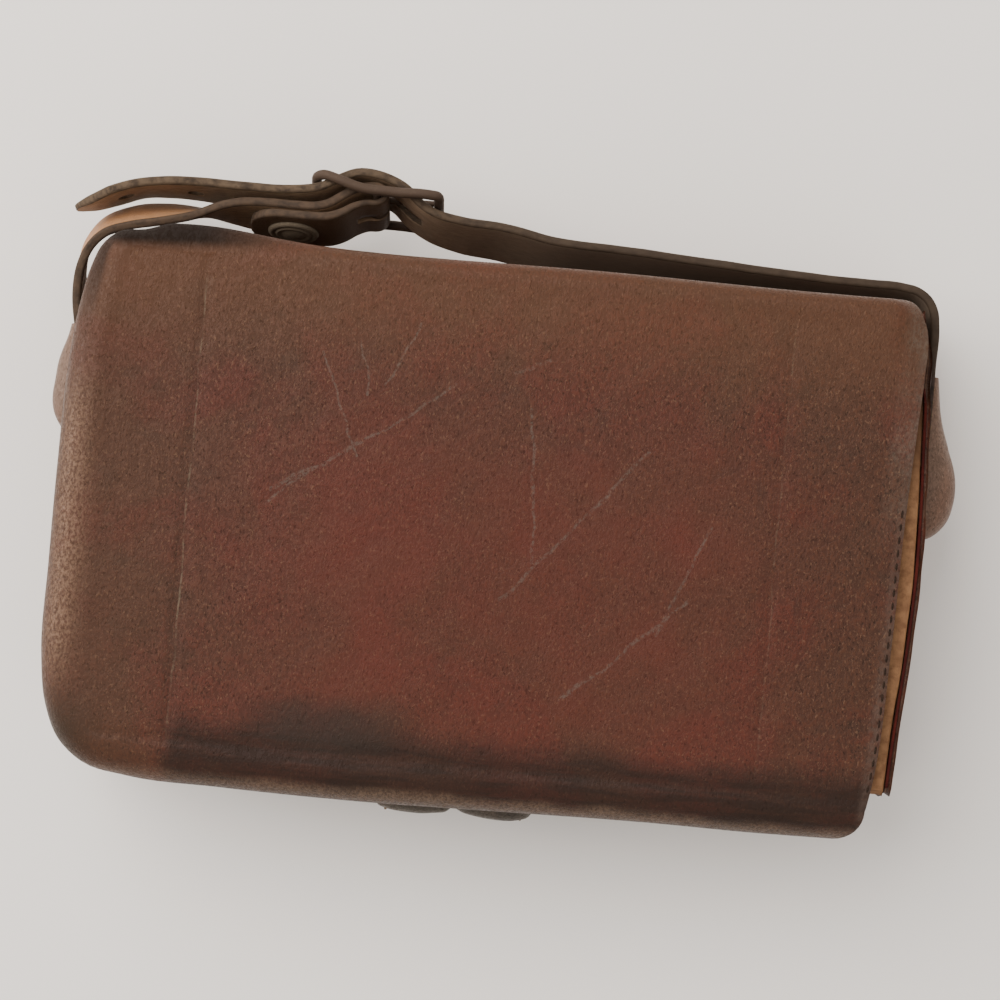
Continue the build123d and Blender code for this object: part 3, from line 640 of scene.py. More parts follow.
def lid_face(inner, travel):
    """The top as a patch inside its four edge lines, waved a little and dented along its creases.
    Returns it, its places along x, those of its rear edge, and where the skirt's rows start."""
    run = unit(np.gradient(inner, axis=0))
    # the front left corner is where the edge runs at 45 degrees
    corner = np.argmin(np.abs(run[:, 0] + run[:, 1]) + (inner[:, 1] > 0) * 9)
    along_x = stations(-99.0, 96.0, 1.5, CREASES, 0.55, 3.0)
    along_y = stations(-61.0, 56.0, 1.5, (FRONT_CREASE,), 0.6, 4.0)
    u = (along_x - along_x[0]) / (along_x[-1] - along_x[0])
    v = (along_y - along_y[0]) / (along_y[-1] - along_y[0])
    front_x = between(along_x, inner[corner, 0], LID_RIGHT[0][0])
    front_at = np.interp(front_x, inner[corner:, 0], np.arange(corner, len(inner)))
    left_at = np.interp(travel[corner] * (1 - v), travel, np.arange(len(inner)))
    front = np.c_[sample(inner, front_at), np.full(len(u), TOP)]
    left = np.c_[sample(inner, left_at), np.full(len(v), TOP)]
    rear_x = between(along_x, left[-1, 0], LID_RIGHT[-1][0])
    stray = left[-1, 1] - HALF_WIDTH + FOLD
    rear = xyz(rear_x, LID_REAR + stray * bell(rear_x, rear_x[0], 8), TOP)
    edge = through(LID_RIGHT, 400)
    rise = front[-1, 1] + (LID_REAR - front[-1, 1]) * v
    right = xyz(np.interp(rise, edge[:, 1], edge[:, 0]), rise, TOP)
    right[0], right[-1] = front[-1], rear[-1]
    face = coons(front, rear, left, right, u, v)
    x, y = face[..., 0], face[..., 1]
    dent = (0.28 * bell(x, CREASES[0], 1.1) + 0.1 * bell(x, CREASES[1], 1.3)) * smooth(y, -64, -52)
    dent = dent + 0.22 * bell(y, FRONT_CREASE, 1.6) * smooth(x, -104, -92)
    fade = smooth(u, 0, 0.03)[:, None] * smooth(1 - u, 0, 0.02)[:, None]
    fade = fade * smooth(v, 0, 0.02)[None] * smooth(1 - v, 0, 0.03)[None]
    face[..., 2] += (ripple(x, y, 4, 70) * 0.35 + ripple(x, y, 9, 17) * 0.09 - dent) * fade
    face[..., 2] -= CORNER_SINK * smooth(y, 38, 54) * smooth(x, 88, 98) ** 2
    return face, along_x, rear_x, np.r_[left_at[::-1], front_at[1:]]


def lid_skirt(inner, out, radius, at):
    """Over the left and the front: an arc of the bend, then straight on down the lip."""
    base, side = sample(inner, at), sample(out, at)
    drop = TOP - LIP_BOTTOM - radius
    reach, fall = (np.interp(at, np.arange(len(inner)), a)[:, None] for a in (radius, drop))
    angle = np.r_[np.linspace(0, 1, ARC_ROWS), np.ones(LIP_ROWS)] * tau / 4
    beyond = np.r_[np.zeros(ARC_ROWS), np.linspace(0, 1, LIP_ROWS + 1)[1:]]
    outward = reach * np.sin(angle)
    down = reach * (1 - np.cos(angle)) + fall * beyond
    skirt = np.empty((*down.shape, 3))
    skirt[..., :2] = base[:, None] + side[:, None] * outward[..., None]
    skirt[..., 2] = TOP - down
    skirt[..., 2] += ripple(skirt[..., 0], skirt[..., 1], 12, 60) * 0.5 * (down / 13)
    # the front's right end is cut round
    end_cut = 7.6 * (1 - np.sqrt(1 - np.clip(outward / ROLL, 0, 1) ** 2))
    skirt[..., 0] -= end_cut * smooth(skirt[..., 0], 50, LID_RIGHT[0][0]) * (skirt[..., 1] < -40)
    return skirt


def lid_back(along_x, rear_x):
    """Over the rear edge: the fold, the wall below it and the bend into the base."""
    fold, bend = np.linspace(0, tau / 4, ARC_ROWS), np.linspace(0, tau / 4, 9)[1:]
    wall_z = np.r_[
        np.linspace(FOLD_START, LIP_BOTTOM, LIP_ROWS + 1)[1:],
        np.linspace(LIP_BOTTOM - 1, BOTTOM_BEND, 34),
    ]
    y = np.r_[
        LID_REAR + FOLD * np.sin(fold),
        np.full(len(wall_z), HALF_WIDTH),
        HALF_WIDTH - BOTTOM_BEND + BOTTOM_BEND * np.cos(bend),
    ]
    z = np.r_[FOLD_START + FOLD * np.cos(fold), wall_z, BOTTOM_BEND - BOTTOM_BEND * np.sin(bend)]
    low_x = between(along_x, -WRAP_HALF, WRAP_HALF)
    high_x = between(along_x, -93.5, 96.0)
    widen = 1 - smooth(z, 38.0, LIP_BOTTOM)
    spread = 1 - smooth(z, 8.0, 22.0)
    x = rear_x[:, None] + (high_x - rear_x)[:, None] * widen + (low_x - high_x)[:, None] * spread
    proud = 0.3 + 2.4 * bell(rear_x, -76, 20) * smooth(rear_x, -91, -82)
    bulge = smooth(z, 26, 50) * smooth(y, 56, 60)
    tuck = (1 - smooth(high_x, -94, -87))[:, None] * (widen * (1 - spread))[None]
    uneven = ripple(x, z[None], 21, 50) * smooth(z, 2, 10) * smooth(y, 56, 60)
    back = xyz(x, y + proud[:, None] * bulge + (uneven * 0.35 - 2.6 * tuck), z)
    rounding = 1 - np.sqrt(1 - np.clip((y - 55.0) / 5.0, 0, 1) ** 2)
    near_right = smooth(rear_x, 84, 96.2)[:, None]
    back[..., 2] -= CORNER_SINK * smooth(x, 88, 98) ** 2 * smooth(z, 50, TOP)
    back[..., 0] -= (2.0 + 3.0 * smooth(z, 40, 50)) * near_right * rounding * smooth(z, 10, 34)
    return back


def lid_and_back():
    """The top, the skirt that rolls over the left and front, and the fold down the back wall, joined
    along their shared edges, with a row of stitches along the cut edge."""
    line = through(LID_PLAN, 2400)
    run = unit(np.gradient(line, axis=0))
    out = np.stack([run[:, 1], -run[:, 0]], axis=1)
    travel = travelled(line)
    # near the rear corner the roll tightens to that of the fold
    radius = FOLD + (ROLL - FOLD) * smooth(travel, 1.0, 22.0)
    inner = line - out * radius[:, None]
    face, along_x, rear_x, at = lid_face(inner, travel)
    skirt = lid_skirt(inner, out, radius, at)
    skirt[:, 0] = np.r_[face[0, ::-1], face[1:, 0]]
    back = lid_back(along_x, rear_x)
    back[:, 0] = face[:, -1]
    skirt[0] = back[0, : ARC_ROWS + LIP_ROWS]
    seam_y = face[-2, :, 1]
    seam = (face[-1] * 0.35 + face[-2] * 0.65)[(seam_y > -57) & (seam_y < 14)]
    stitches("lid_edge_stitches", seam, (0, 0, 1), 3.1, "lid", "lid_leather", dark_thread, 0.25)
    made = piece("moulded_lid", [(face, {}), (skirt[::-1], {}), (back, {})], [lid_hide, flesh, cut_edge])
    settle(thicken(made, WALL_HIDE), None, "lid_leather", "lid_panel")
    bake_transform(made)


lid_and_back()


# The wrap: front wall, base and the bends, up to where the rear wall takes over

def wrap():
    """A profile with two arcs, swept along the case, with a gentle unevenness in the wall."""
    arc = np.linspace(0, tau / 4, 9)[1:]
    flat = HALF_WIDTH - BOTTOM_BEND
    wall_z = np.linspace(RIM, BOTTOM_BEND, 34)
    base_y = np.linspace(-flat, flat, 40)[1:]
    y = np.r_[np.full(len(wall_z), -HALF_WIDTH), -flat - BOTTOM_BEND * np.cos(arc), base_y]
    z = np.r_[wall_z, BOTTOM_BEND - BOTTOM_BEND * np.sin(arc), np.zeros(len(base_y))]
    x = stations(-WRAP_HALF, WRAP_HALF, 2.4)[:, None]
    wall = smooth(z, 4, 14) * smooth(RIM - z, -1, 5) * smooth(-y, 55, 59)
    y = y + ripple(x, z, 31, 60) * 0.35 * wall
    x = x - 6.2 * smooth(x, 82, WRAP_HALF) * (smooth(z, 18, 42) * (y < 0))
    made = piece("wrap", [(xyz(x, y, z), {})], [wall_hide, flesh, cut_edge], flip=True)
    settle(thicken(made, WALL_HIDE), "case", "body_leather", "body_wrap")


wrap()


# The plies of the two ends

def turned_in(y, z, side):
    """How far an end leans in: at its rear corner above the base, and along its rim."""
    rear, rim = LEAN[side]
    rear_lean = rear * smooth(y, 46, 60) * smooth(z, 8, 22)
    rim_lean = smooth(-y, 5, 62) * smooth(z, 20, 44) + 0.55 * smooth(y, 0, 42) * smooth(z, 42, 53)
    return rear_lean + rim * rim_lean


def dipped(y, z, side):
    """How far an end's rim sinks where the lid closes over its rear corner."""
    start, end, depth = DIP[side]
    return depth * smooth(y, start, end) * smooth(z, 26, 54)


def plate(name, outline, x_outer, x_inner, round_outer, round_inner, finishes, bands):
    """A thick plate in the YZ plane: its outline is inset along an arc at both faces, and each face is
    drawn to the middle line in rings. Bands are the finishes of its two faces and the edge between."""
    run = unit(np.roll(outline, -1, axis=0) - np.roll(outline, 1, axis=0))
    inward = np.stack([-run[:, 1], run[:, 0]], axis=1)
    arc = np.linspace(0, tau / 4, 6)
    way = 1 if x_outer > 0 else -1
    inset = np.r_[round_outer * (1 - np.sin(arc)), round_inner * (1 - np.cos(arc))]
    x = np.r_[
        x_outer - way * round_outer * (1 - np.cos(arc)),
        x_inner + way * round_inner * (1 - np.sin(arc)),
    ]
    edge = outline[None] + inward[None] * inset[:, None, None]
    spine = np.c_[np.clip(outline[:, 0], -40, 40), np.full(len(outline), TOP / 2)]
    share = np.array([0, 0.25, 0.5, 0.72, 0.86, 0.94, 0.985])[:, None, None]
    faces = [spine + (edge[k] - spine) * share for k in (0, -1)]
    y, z = np.moveaxis(np.concatenate([faces[0], edge, faces[1][::-1]]), 2, 0)
    x = np.r_[np.full(len(share), x[0]), x, np.full(len(share), x[-1])][:, None]
    worn = ripple(y, z, int(abs(x_outer) * 10), 14)
    x = x + way * (worn * 0.18 * smooth(z, 44, 52) - turned_in(y, z, way))
    paint = np.repeat(bands, [5 + len(share), 1, 5 + len(share)])
    options = {"close_rows": True, "paint": paint}
    return piece(name, [(xyz(x, y, z).transpose(1, 0, 2), options)], finishes, outward=True)


def end_outline(front_y, rear_y, bottom, corner, seed):
    """Outline of an end ply: a rim that waves a little, and two rounded corners at the bottom."""
    rim_y = stations(front_y + 1.5, rear_y - 1.5, 1.2)
    waves = 0.4 * ripple(rim_y, 0, seed, 24) + 0.12 * ripple(rim_y, 0, seed + 1, 5)
    arc = np.linspace(0, tau / 4, 8)
    rise = np.linspace(bottom + corner, RIM - 2.0, 30)[1:]
    return np.concatenate(
        [
            np.c_[rim_y, RIM - 0.45 + waves],
            np.c_[np.full(len(rise), rear_y), rise[::-1]],
            np.c_[rear_y - corner * (1 - np.cos(arc)), bottom + corner * (1 - np.sin(arc))],
            np.c_[front_y + corner * (1 - np.sin(arc)), bottom + corner * (1 - np.cos(arc))],
            np.c_[np.full(len(rise), front_y), rise],
        ]
    )


def ends():
    """Each end has a thin brown outer ply and a thick inner one whose tan core shows at its rim."""
    for side, sign in (("left", -1), ("right", 1)):
        outline = end_outline(-59.8, 59.8, 0.1, BOTTOM_BEND, 40 + sign)
        # higher up, the front edge steps in under the lip and the rear edge under the fold
        step = (18, 42) if sign > 0 else (38, 46)
        outline[:, 0] += 3.5 * smooth(outline[:, 1], *step) * smooth(-outline[:, 0], 50, 56)
        outline[:, 0] -= 1.6 * smooth(outline[:, 1], 18, 40) * smooth(outline[:, 0], 50, 59)
        outline[:, 1] -= dipped(*outline.T, sign)
        made = plate(
            f"{side}_outer_ply", outline, sign * (HALF_LENGTH + 0.6), sign * (WRAP_HALF + 1.1), 0.9, 0.3,
            [wall_hide, ply_edge], [0, 1, 0],
        )
        settle(made, "case", "body_leather", f"{side}_end_outer")
        outline = end_outline(-BAY_HALF_Y + 0.1, BAY_HALF_Y - 0.1, 3.0, 3.2, 60 + sign)
        outline[:, 1] -= dipped(*outline.T, sign)
        made = plate(
            f"{side}_inner_ply", outline, sign * (WRAP_HALF + 0.75), sign * BAY_HALF_X, 0.4, 0.5,
            [core], [0, 0, 0],
        )
        settle(made, "case", "core_leather", f"{side}_end_inner")


ends()


# Linings

def rim_strip():
    """The lining's turned-over edge, seen as a dark red line between the plies of the open end."""
    y, z = np.meshgrid(stations(-55, 40, 1.5), np.linspace(47, 54.8, 6), indexing="ij")
    wave = 0.25 * ripple(y, 0, 63, 18)
    grid = xyz(WRAP_HALF + 1.15 - turned_in(y, z, 1), y, z + wave - 1.1 * dipped(y, z, 1))
    made = thicken(piece("rim_strip", [(grid, {})], [rim_red], flip=True), 0.6, 0, 0, 0)
    settle(made, "case", "lining")


def bay_lining():
    """One plush pan: a rounded plan drawn up the walls, dented where a washer comes through."""
    radius, skin, bend = 3.0, 0.8, 3.0
    half_x, half_y = BAY_HALF_X - skin, BAY_HALF_Y - skin
    cx, cy = half_x - radius, half_y - radius
    side = stations(-cy, cy, 1.6)
    along = stations(-cx, cx, 2.4)
    arc = np.linspace(0, tau / 4, 5)
    corner = radius * np.stack([np.cos(arc), np.sin(arc)], axis=1)[1:-1]
    loop = np.concatenate(
        [
            np.c_[np.full(len(side), half_x), side],
            corner + (cx, cy),
            np.c_[along[::-1], np.full(len(along), half_y)],
            corner[::-1] * (-1, 1) + (-cx, cy),
            np.c_[np.full(len(side), -half_x), side[::-1]],
            corner * (-1, -1) + (-cx, -cy),
            np.c_[along, np.full(len(along), -half_y)],
            corner[::-1] * (1, -1) + (cx, -cy),
        ]
    )
    floor_z = 3.0 + skin
    turn = np.linspace(0, tau / 4, 6)[1:]
    levels = np.r_[np.linspace(RIM - 1.5, floor_z + bend, 30), floor_z + bend * (1 - np.sin(turn))]
    inset = np.r_[np.zeros(30), bend * (1 - np.cos(turn))]
    shrink = np.linspace(0, 1, 14)[1:, None]
    walls = loop[:, None] * (1 - inset[None, :, None] / (half_x, half_y))
    spine = np.c_[np.clip(loop[:, 0], half_y - half_x, half_x - half_y), np.zeros(len(loop))]
    start = walls[:, -1]
    floor = start[:, None] + (spine - start)[:, None] * shrink
    x, y = np.moveaxis(np.concatenate([walls, floor], axis=1), 2, 0)
    z = np.r_[levels, np.full(len(shrink), floor_z)]
    grid = xyz(x, y, z)
    # the left and the right washer, each with its place along y
    for sign, place in ((-1, 19.5), (1, 14.0)):
        near_end = smooth(sign * x, half_x - 14, half_x)
        washer = np.hypot(y - place, z - STRAP_HEIGHT)
        dent = (1 - smooth(washer, *WASHER_DENT)) * (sign * x > 90)
        grid[..., 0] -= sign * near_end * turned_in(y, z, sign) - sign * dent * (skin + 0.02)
        grid[..., 2] -= near_end * dipped(y, z, sign)
    soft = ripple(x + z, y, 71, 22) * 0.12 + ripple(x, y + z, 72, 6) * 0.05
    post = 1 - smooth(np.hypot(x - SNAP_X, z - 26.4), *WASHER_DENT)
    grid[..., 1] -= post * (y < -50) * (skin + 0.02)
    grid[..., 2] += soft * smooth(-z, -6, -4)
    made = piece("bay_lining", [(grid, {"close_rows": True})], [plush])
    thicken(made, skin - 0.1, 0.2, 0, 0)
    covered = ("base_lining", "front_lining", "rear_lining", "left_lining", "right_lining")
    settle(made, "case", "lining", *covered)


def lid_lining():
    """A plush panel with a padded edge under the lid."""
    half_x, half_y, level = 92.5, 55.0, 55.0
    u = stations(-1, 1, 0.03, (-1, 1), 0.006, 0.06)
    v = stations(-1, 1, 0.03, (-1, 1), 0.008, 0.08)
    x, y = np.meshgrid(u * half_x, v * half_y, indexing="ij")
    edge = np.minimum(half_x - np.abs(x), half_y - np.abs(y))
    plump = np.sqrt(np.clip(edge / 1.2, 0, 1))
    front = xyz(x, y, level - 0.1 - 0.7 * plump + ripple(x, y, 77, 20) * 0.06)
    back = xyz(x, y, level + 0.25)
    made = piece("lid_lining_panel", [(front, {}), (back[::-1], {})], [plush], flip=True)
    settle(made, None, "lining", "lid_lining")
    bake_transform(made)


rim_strip()
bay_lining()
lid_lining()


# Strap covers

def strap_cover(side, sign, profile):
    """A height field over the end wall: a smooth crown line along it times a rounded section across."""
    half, flange, base, corner = 12.5, 15.5, 1.5, 8
    foot, stop = profile[0][1], profile[-1][1]
    line = through(profile, 300)
    y = stations(foot - 3, stop, 0.9, (foot, foot + 1.2), 0.22, 2.0)

    def rounded(reach, along, turn=corner):
        """Half the width along a strip that starts with rounded corners."""
        return reach - corner + np.sqrt(turn**2 - np.clip(corner - along, 0, turn) ** 2)

    hump = np.where(y < foot, 4.5, rounded(half, y - foot))
    outer = rounded(flange, y - foot + 3)
    off = np.maximum(np.interp(y, line[:, 1], line[:, 0], left=0) - base, 0)[:, None]
    q = np.sin(np.linspace(-tau / 4, tau / 4, 41))
    crown = base + off * (1 - np.abs(q) ** 3.2) ** (1 / 2.6)
    rim = -outer[:, None] + (outer - hump)[:, None] * np.linspace(0, 1, 5)[:-1]
    across = np.concatenate([rim, hump[:, None] * q, -rim[:, ::-1]], axis=1)
    flat = np.full(rim.shape, base)
    tall = np.concatenate([flat, crown, flat], axis=1)
    z = STRAP_HEIGHT + across
    dent = ripple(y[:, None], z, 80 + sign, 16) * 0.3 * smooth(tall, 2, 6)
    grid = xyz(sign * (HALF_LENGTH + tall + dent * 0.8), y[:, None], z)
    made = piece(f"{side}_cover", [(grid, {})], [cover_hide, flesh, cut_edge], flip=sign < 0)
    thicken(made, 1.1, 0.25)
    settle(made, "case", "cover_leather", f"{side}_strap_cover")
    inset = 1.4
    seam_y = np.maximum(y, foot - 3 + inset)
    edge = rounded(flange, seam_y - foot + 3, corner - inset)
    seam_z = STRAP_HEIGHT + np.r_[-edge[::-1], edge]
    seam = xyz(sign * (HALF_LENGTH + base), np.r_[seam_y[::-1], seam_y], seam_z)
    stitches(f"{side}_cover_stitches", seam, (sign, 0, 0), 3.0, "case", "cover_leather")


# each profile gives how far off the wall the crown is and how far along it
left_crown = [
    (0, 8.5), (6.0, 10.6), (9.2, 14.6), (10.4, 19.5), (10.1, 25.0), (9.0, 31.0), (7.9, 35.5), (7.4, 37.8),
]
right_crown = [
    (0, 3.0), (6.0, 5.0), (9.6, 9.2), (10.7, 13.8), (10.4, 19.3), (8.1, 27.2), (5.4, 34.6), (3.8, 43.5),
]
strap_cover("left", -1, left_crown)
strap_cover("right", 1, right_crown)


# The strap

def in_buckle(x, y, z=0.0):
    """A place in the buckle's leaning frame as a place in the case's frame."""
    sin, cos = np.sin(BUCKLE_LEAN), np.cos(BUCKLE_LEAN)
    return BUCKLE_AT + xyz(x, y * cos + z * sin, z * cos - y * sin)


def leaning(points, outward):
    """Adds to each x, y, z and outward lean the direction across the strap at that point."""
    p = np.asarray(points, float)
    run = unit(np.gradient(p[:, :2], axis=0))
    lean = np.radians(p[:, 3])
    side = outward * np.sin(lean)
    return np.c_[p[:, :3], side * run[:, 1], -side * run[:, 0], np.cos(lean)]


def ribbon(name, guide, thick, half_width, finishes, step=0.9):
    """A strap with a rounded oblong section along a guide of places and directions across it."""
    line = through(guide, int(travelled(guide[:, :3])[-1] / step))
    place, across = line[:, :3], line[:, 3:]
    run = unit(np.gradient(place, axis=0))
    across = unit(across - run * np.sum(across * run, axis=1)[:, None])
    face = np.cross(run, across)
    travel = travelled(place)
    half, thick = half_width(travel, travel[-1])[:, None], thick(travel, travel[-1])[:, None] / 2
    arc = np.linspace(0, tau / 4, 5)
    quarter = np.stack([np.cos(arc), np.sin(arc)], axis=1)
    # the radius of the section's corners
    r = 0.75

    def corner(sx, sy):
        """A rounded corner of the section, as distances across the strap and off its middle."""
        turned = (quarter if sx * sy > 0 else quarter[::-1]) * (sx, sy)
        off = sy * np.maximum(thick - r, 0.02) + turned[:, 1] * np.minimum(r, thick)
        return np.stack([sx * (half - r) + turned[:, 0] * r, off], axis=2)

    def flat(way):
        """One flat face of the section, on the side that way points to."""
        side = np.linspace(way, -way, 13)[1:-1]
        return np.stack(np.broadcast_arrays(side * (half - r), way * thick), axis=2)

    section = np.concatenate(
        [corner(1, 1), flat(1), corner(-1, 1), corner(-1, -1), flat(-1), corner(1, -1)], axis=1
    )
    wavy = section[..., :1] + ripple(travel, 0, 90, 12)[:, None, None] * 0.16
    rings = place[:, None] + across[:, None] * wavy + face[:, None] * section[..., 1:]
    # columns: corner, face (side +), corner, edge, corner, face (side -), corner, edge
    paint = np.repeat([2, 0, 2, 2, 2, 1, 2, 2], [4, 12, 4, 1, 4, 12, 4, 1])
    return piece(name, [(rings, {**TUBE, "paint": paint, "cap_paint": 2})], finishes, outward=True)


def lathe(name, profile, centre, axis, finish, sides=48):
    """A round piece: a profile of (distance along the axis, radius) turned about it."""
    axis = unit(np.asarray(axis, float))
    side = unit(np.cross(axis, (0, 0, 1.0)))
    top = np.cross(axis, side)
    angle = around(sides)[:, None]
    p = np.asarray(profile, float)
    ring = np.cos(angle) * side + np.sin(angle) * top
    grid = np.asarray(centre, float) + p[:, None, :1] * axis + p[:, None, 1:] * ring[None]
    return piece(name, [(grid, TUBE)], [finish], outward=True)


def tube(name, path, radius, finish, closed=False):
    """Wire along a path of points: rings square to the run, turned by a fixed sideways direction."""
    if closed:
        run = unit(np.roll(path, -1, axis=0) - np.roll(path, 1, axis=0))
    else:
        run = unit(np.gradient(path, axis=0))
    fixed = in_buckle(0, 1, 0) - BUCKLE_AT
    side = fixed - run * (run @ fixed)[:, None]
    weak = np.linalg.norm(side, axis=1) < 0.2
    side[weak] = np.cross(run[weak], (0.9, 0.1, 0.3))
    side = unit(side)
    top = np.cross(run, side)
    angle = around(12)[None, :, None]
    r = np.broadcast_to(radius, len(path))[:, None, None]
    grid = path[:, None] + r * (np.cos(angle) * side[:, None] + np.sin(angle) * top[:, None])
    options = {"close_columns": True, "close_rows": closed, "caps": not closed}
    return piece(name, [(grid, options)], [finish], outward=True)


def cut(made, *cutters):
    """Take cutters away from a piece and remove them."""
    for cutter in cutters:
        tool = made.modifiers.new("cut", "BOOLEAN")
        tool.object = cutter
        tool.solver = "EXACT"
    bpy.context.view_layer.update()
    result = made.evaluated_get(bpy.context.evaluated_depsgraph_get())
    shaped = bpy.data.meshes.new_from_object(result)
    made.modifiers.clear()
    old, made.data = made.data, shaped
    bpy.data.meshes.remove(old)
    for cutter in cutters:
        bpy.data.objects.remove(cutter)
    keep_place(made.data)


def slot_cutter(x0, x1, y0, y1, half_z):
    """An oblong cutter given in the buckle's frame."""
    x, z = np.array([(x0, -half_z), (x1, -half_z), (x1, half_z), (x0, half_z)]).T
    grid = np.stack([in_buckle(x, y, z) for y in (y0, y1)])
    return piece("slot", [(grid, TUBE)], [strap_edge], outward=True)


def billet():
    """The long end: round the corner, along the rear, through the buckle and on as the pointed tail."""
    h = STRAP_HEIGHT
    turn = np.radians([0, 22.5, 45, 67.5, 90])
    reach = np.array([8.2, 8.0, 7.6, 7.0, 6.5])
    lean = (1, 3, 7, 11, 14)
    corner = np.c_[93.6 + reach * np.cos(turn), 56.2 + reach * np.sin(turn), np.full(5, h), lean]
    points = [
        (102.1, 7, h, 0), (102.1, 30, h, 0), (102.0, 46, h, 0), *corner,
        (86, 62.7, h, 15), (78, 62.8, h, 15), (62, 63.5, h, 14), (43, 64.2, h, 16), (24, 64.8, h, 19),
        (9, 65.2, h, 20), (-5, 67.7, h, 19), (-15, 68.6, h, 17.5), (-22, 70.2, h, 15.5),
        (-26.5, 72.6, h, 15), (-31, 76.4, h, 15), (-35.5, 78.1, h, 15), (-40.5, 78.5, h, 15),
        (-45, 76.5, h, 15), (-49, 74.4, h, 15), (-53, 73.4, h, 15), (-60, 73.1, h, 12),
        (-70, 73.5, h, 9), (-80, 74.0, h, 6), (-88, 73.8, h, 4), (-94.5, 72.9, h, 2),
        (-100, 70.9, h, 2), (-105, 68.6, h, 1), (-110, 66.6, h, 0),
    ]

    def half(travel, length):
        left = length - travel
        return STRAP_WIDTH / 2 * np.clip(0.2 + 0.8 * np.sqrt(np.clip(left / 10.0, 0, 1)), 0, 1)

    def thick(travel, length):
        return STRAP_HIDE - 0.9 * (1 - smooth(length - travel, 0, 5))

    made = ribbon("billet", leaning(points, 1), thick, half, [strap_hide, strap_flesh, strap_edge])
    drill = [(-8.0, 2.0), (8.0, 2.0)]
    holes = [
        lathe("punch", drill, (x, 72.8, h), (0, 1, 0), strap_edge, 24) for x in (-98.0, -81.0, -64.0)
    ]
    cut(made, slot_cutter(-1.45, 11.05, -7, 9, 1.8), *holes)
    settle(made, "case", "strap_leather", "strap_billet")


def chape():
    """The short end: it twists round the corner, folds round the centre bar and lies back on itself."""
    h = STRAP_HEIGHT
    points = [
        (-102.1, 12.5, h, 0), (-102.1, 25, h, 0), (-103.4, 31, h, 0), (-105.3, 37.5, h, 0),
        (-107.0, 45, h, -3), (-107.4, 52, h, -8), (-105.9, 58.2, h, -13), (-102.3, 62.8, h, -17),
        (-96, 65.6, h, -19), (-88, 67.1, h + 0.2, -17), (-80, 67.9, h + 0.5, -9),
        (-73, 68.8, h + 0.9, 5), (-67, 69.06, h + 1.19, 13),
    ]
    start = leaning(points, -1)
    # the fold in the buckle's frame: up to the centre bar, round it and back
    before = [
        (-25, -4.6), (-18.5, -4.6), (-14.5, -4.45), (-11.5, -3.4), (-8.6, -1.3), (-5.4, 0.9),
        (-2.4, 1.85),
    ]
    after = [
        (-2.6, -2.4), (-5.2, -3.5), (-8.2, -5.5), (-11.2, -6.75), (-14.5, -7.1), (-19, -7.1),
        (-25, -7.1), (-30.5, -7.15),
    ]
    angle = np.radians([75, 40, 0, -40, -75])
    loop = 2.05 * np.stack([np.cos(angle), np.sin(angle)], axis=1)
    fold = in_buckle(*np.concatenate([before, loop, after]).T)
    across = np.tile([0, np.sin(BUCKLE_LEAN), np.cos(BUCKLE_LEAN)], (len(fold), 1))
    guide = np.concatenate([start, np.c_[fold, across]])

    def half(travel, length):
        left = np.clip((length - travel) / 8.0, 0, 1)
        return STRAP_WIDTH / 2 * (0.25 + 0.75 * np.sqrt(1 - (1 - left) ** 2))

    def thick(travel, length):
        return STRAP_HIDE - 0.7 * bell(length - travel, 31.5, 6.0)

    made = ribbon("chape", guide, thick, half, [strap_flesh, chape_hide, chape_edge], step=0.7)
    cut(made, slot_cutter(-4.6, 3.8, -4.5, 4.5, 1.4))
    settle(made, "case", "strap_leather", "strap_chape")


def buckle():
    """A wire frame with rounded corners, bowed at its left end, and a centre bar."""
    rail = 11.4
    corners = [
        (15.1, 0.0, 0.0), (15.1, 0.0, rail - 4), (15.0, 0.0, rail - 1.2), (14.6, 0.0, rail - 0.3),
        (13.6, 0.0, rail), (4.0, 0.0, rail), (-5.0, 0.5, rail), (-10.0, 2.2, rail - 0.1),
        (-13.0, 3.2, rail - 1.0), (-14.8, 3.6, rail - 3.2), (-15.3, 3.7, rail - 7.0), (-15.4, 3.7, 0.0),
    ]
    half = np.array(corners)
    x, y, z = through(np.concatenate([half, half[-2::-1] * (1, 1, -1)]), 220)[:-1].T
    path = in_buckle(x, y + ripple(x, z, 95, 9) * 0.12, z)
    frame_wire = tube("wire_frame", path, WIRE / 2 + 0.14, buckle_wire, closed=True)
    z = np.linspace(-rail, rail, 30)
    swell = 0.84 + 0.4 * bell(np.abs(z), rail, 0.9)
    bar = tube("centre_bar", in_buckle(z * 0, z * 0, z), WIRE / 2 * swell, buckle_wire)
    settle(frame_wire, "buckle", "buckle_metal", "buckle_frame")
    settle(bar, "buckle", "buckle_metal")


def prong():
    """A wire that loops round the centre bar and lies in the slot with its tip on the far bar."""
    angle = np.radians(np.linspace(390, 90, 26))
    ring = 2.1 * np.c_[np.cos(angle), np.sin(angle)]
    shank = [(3.0, 2.12), (6.0, 2.16), (10.0, 2.2), (13.0, 2.28), (14.8, 2.28), (15.8, 2.15)]
    line = through(np.concatenate([ring, shank]), 90)
    tapers = [(0, 0.7), (0.04, 0.85), (0.5, 0.85), (0.93, 0.72), (0.985, 0.55), (1, 0.15)]
    radius = np.interp(np.linspace(0, 1, 90), *np.transpose(tapers))
    made = tube("prong_wire", in_buckle(*line.T), radius, buckle_wire)
    settle(made, "prong", "buckle_metal", "buckle_prong")


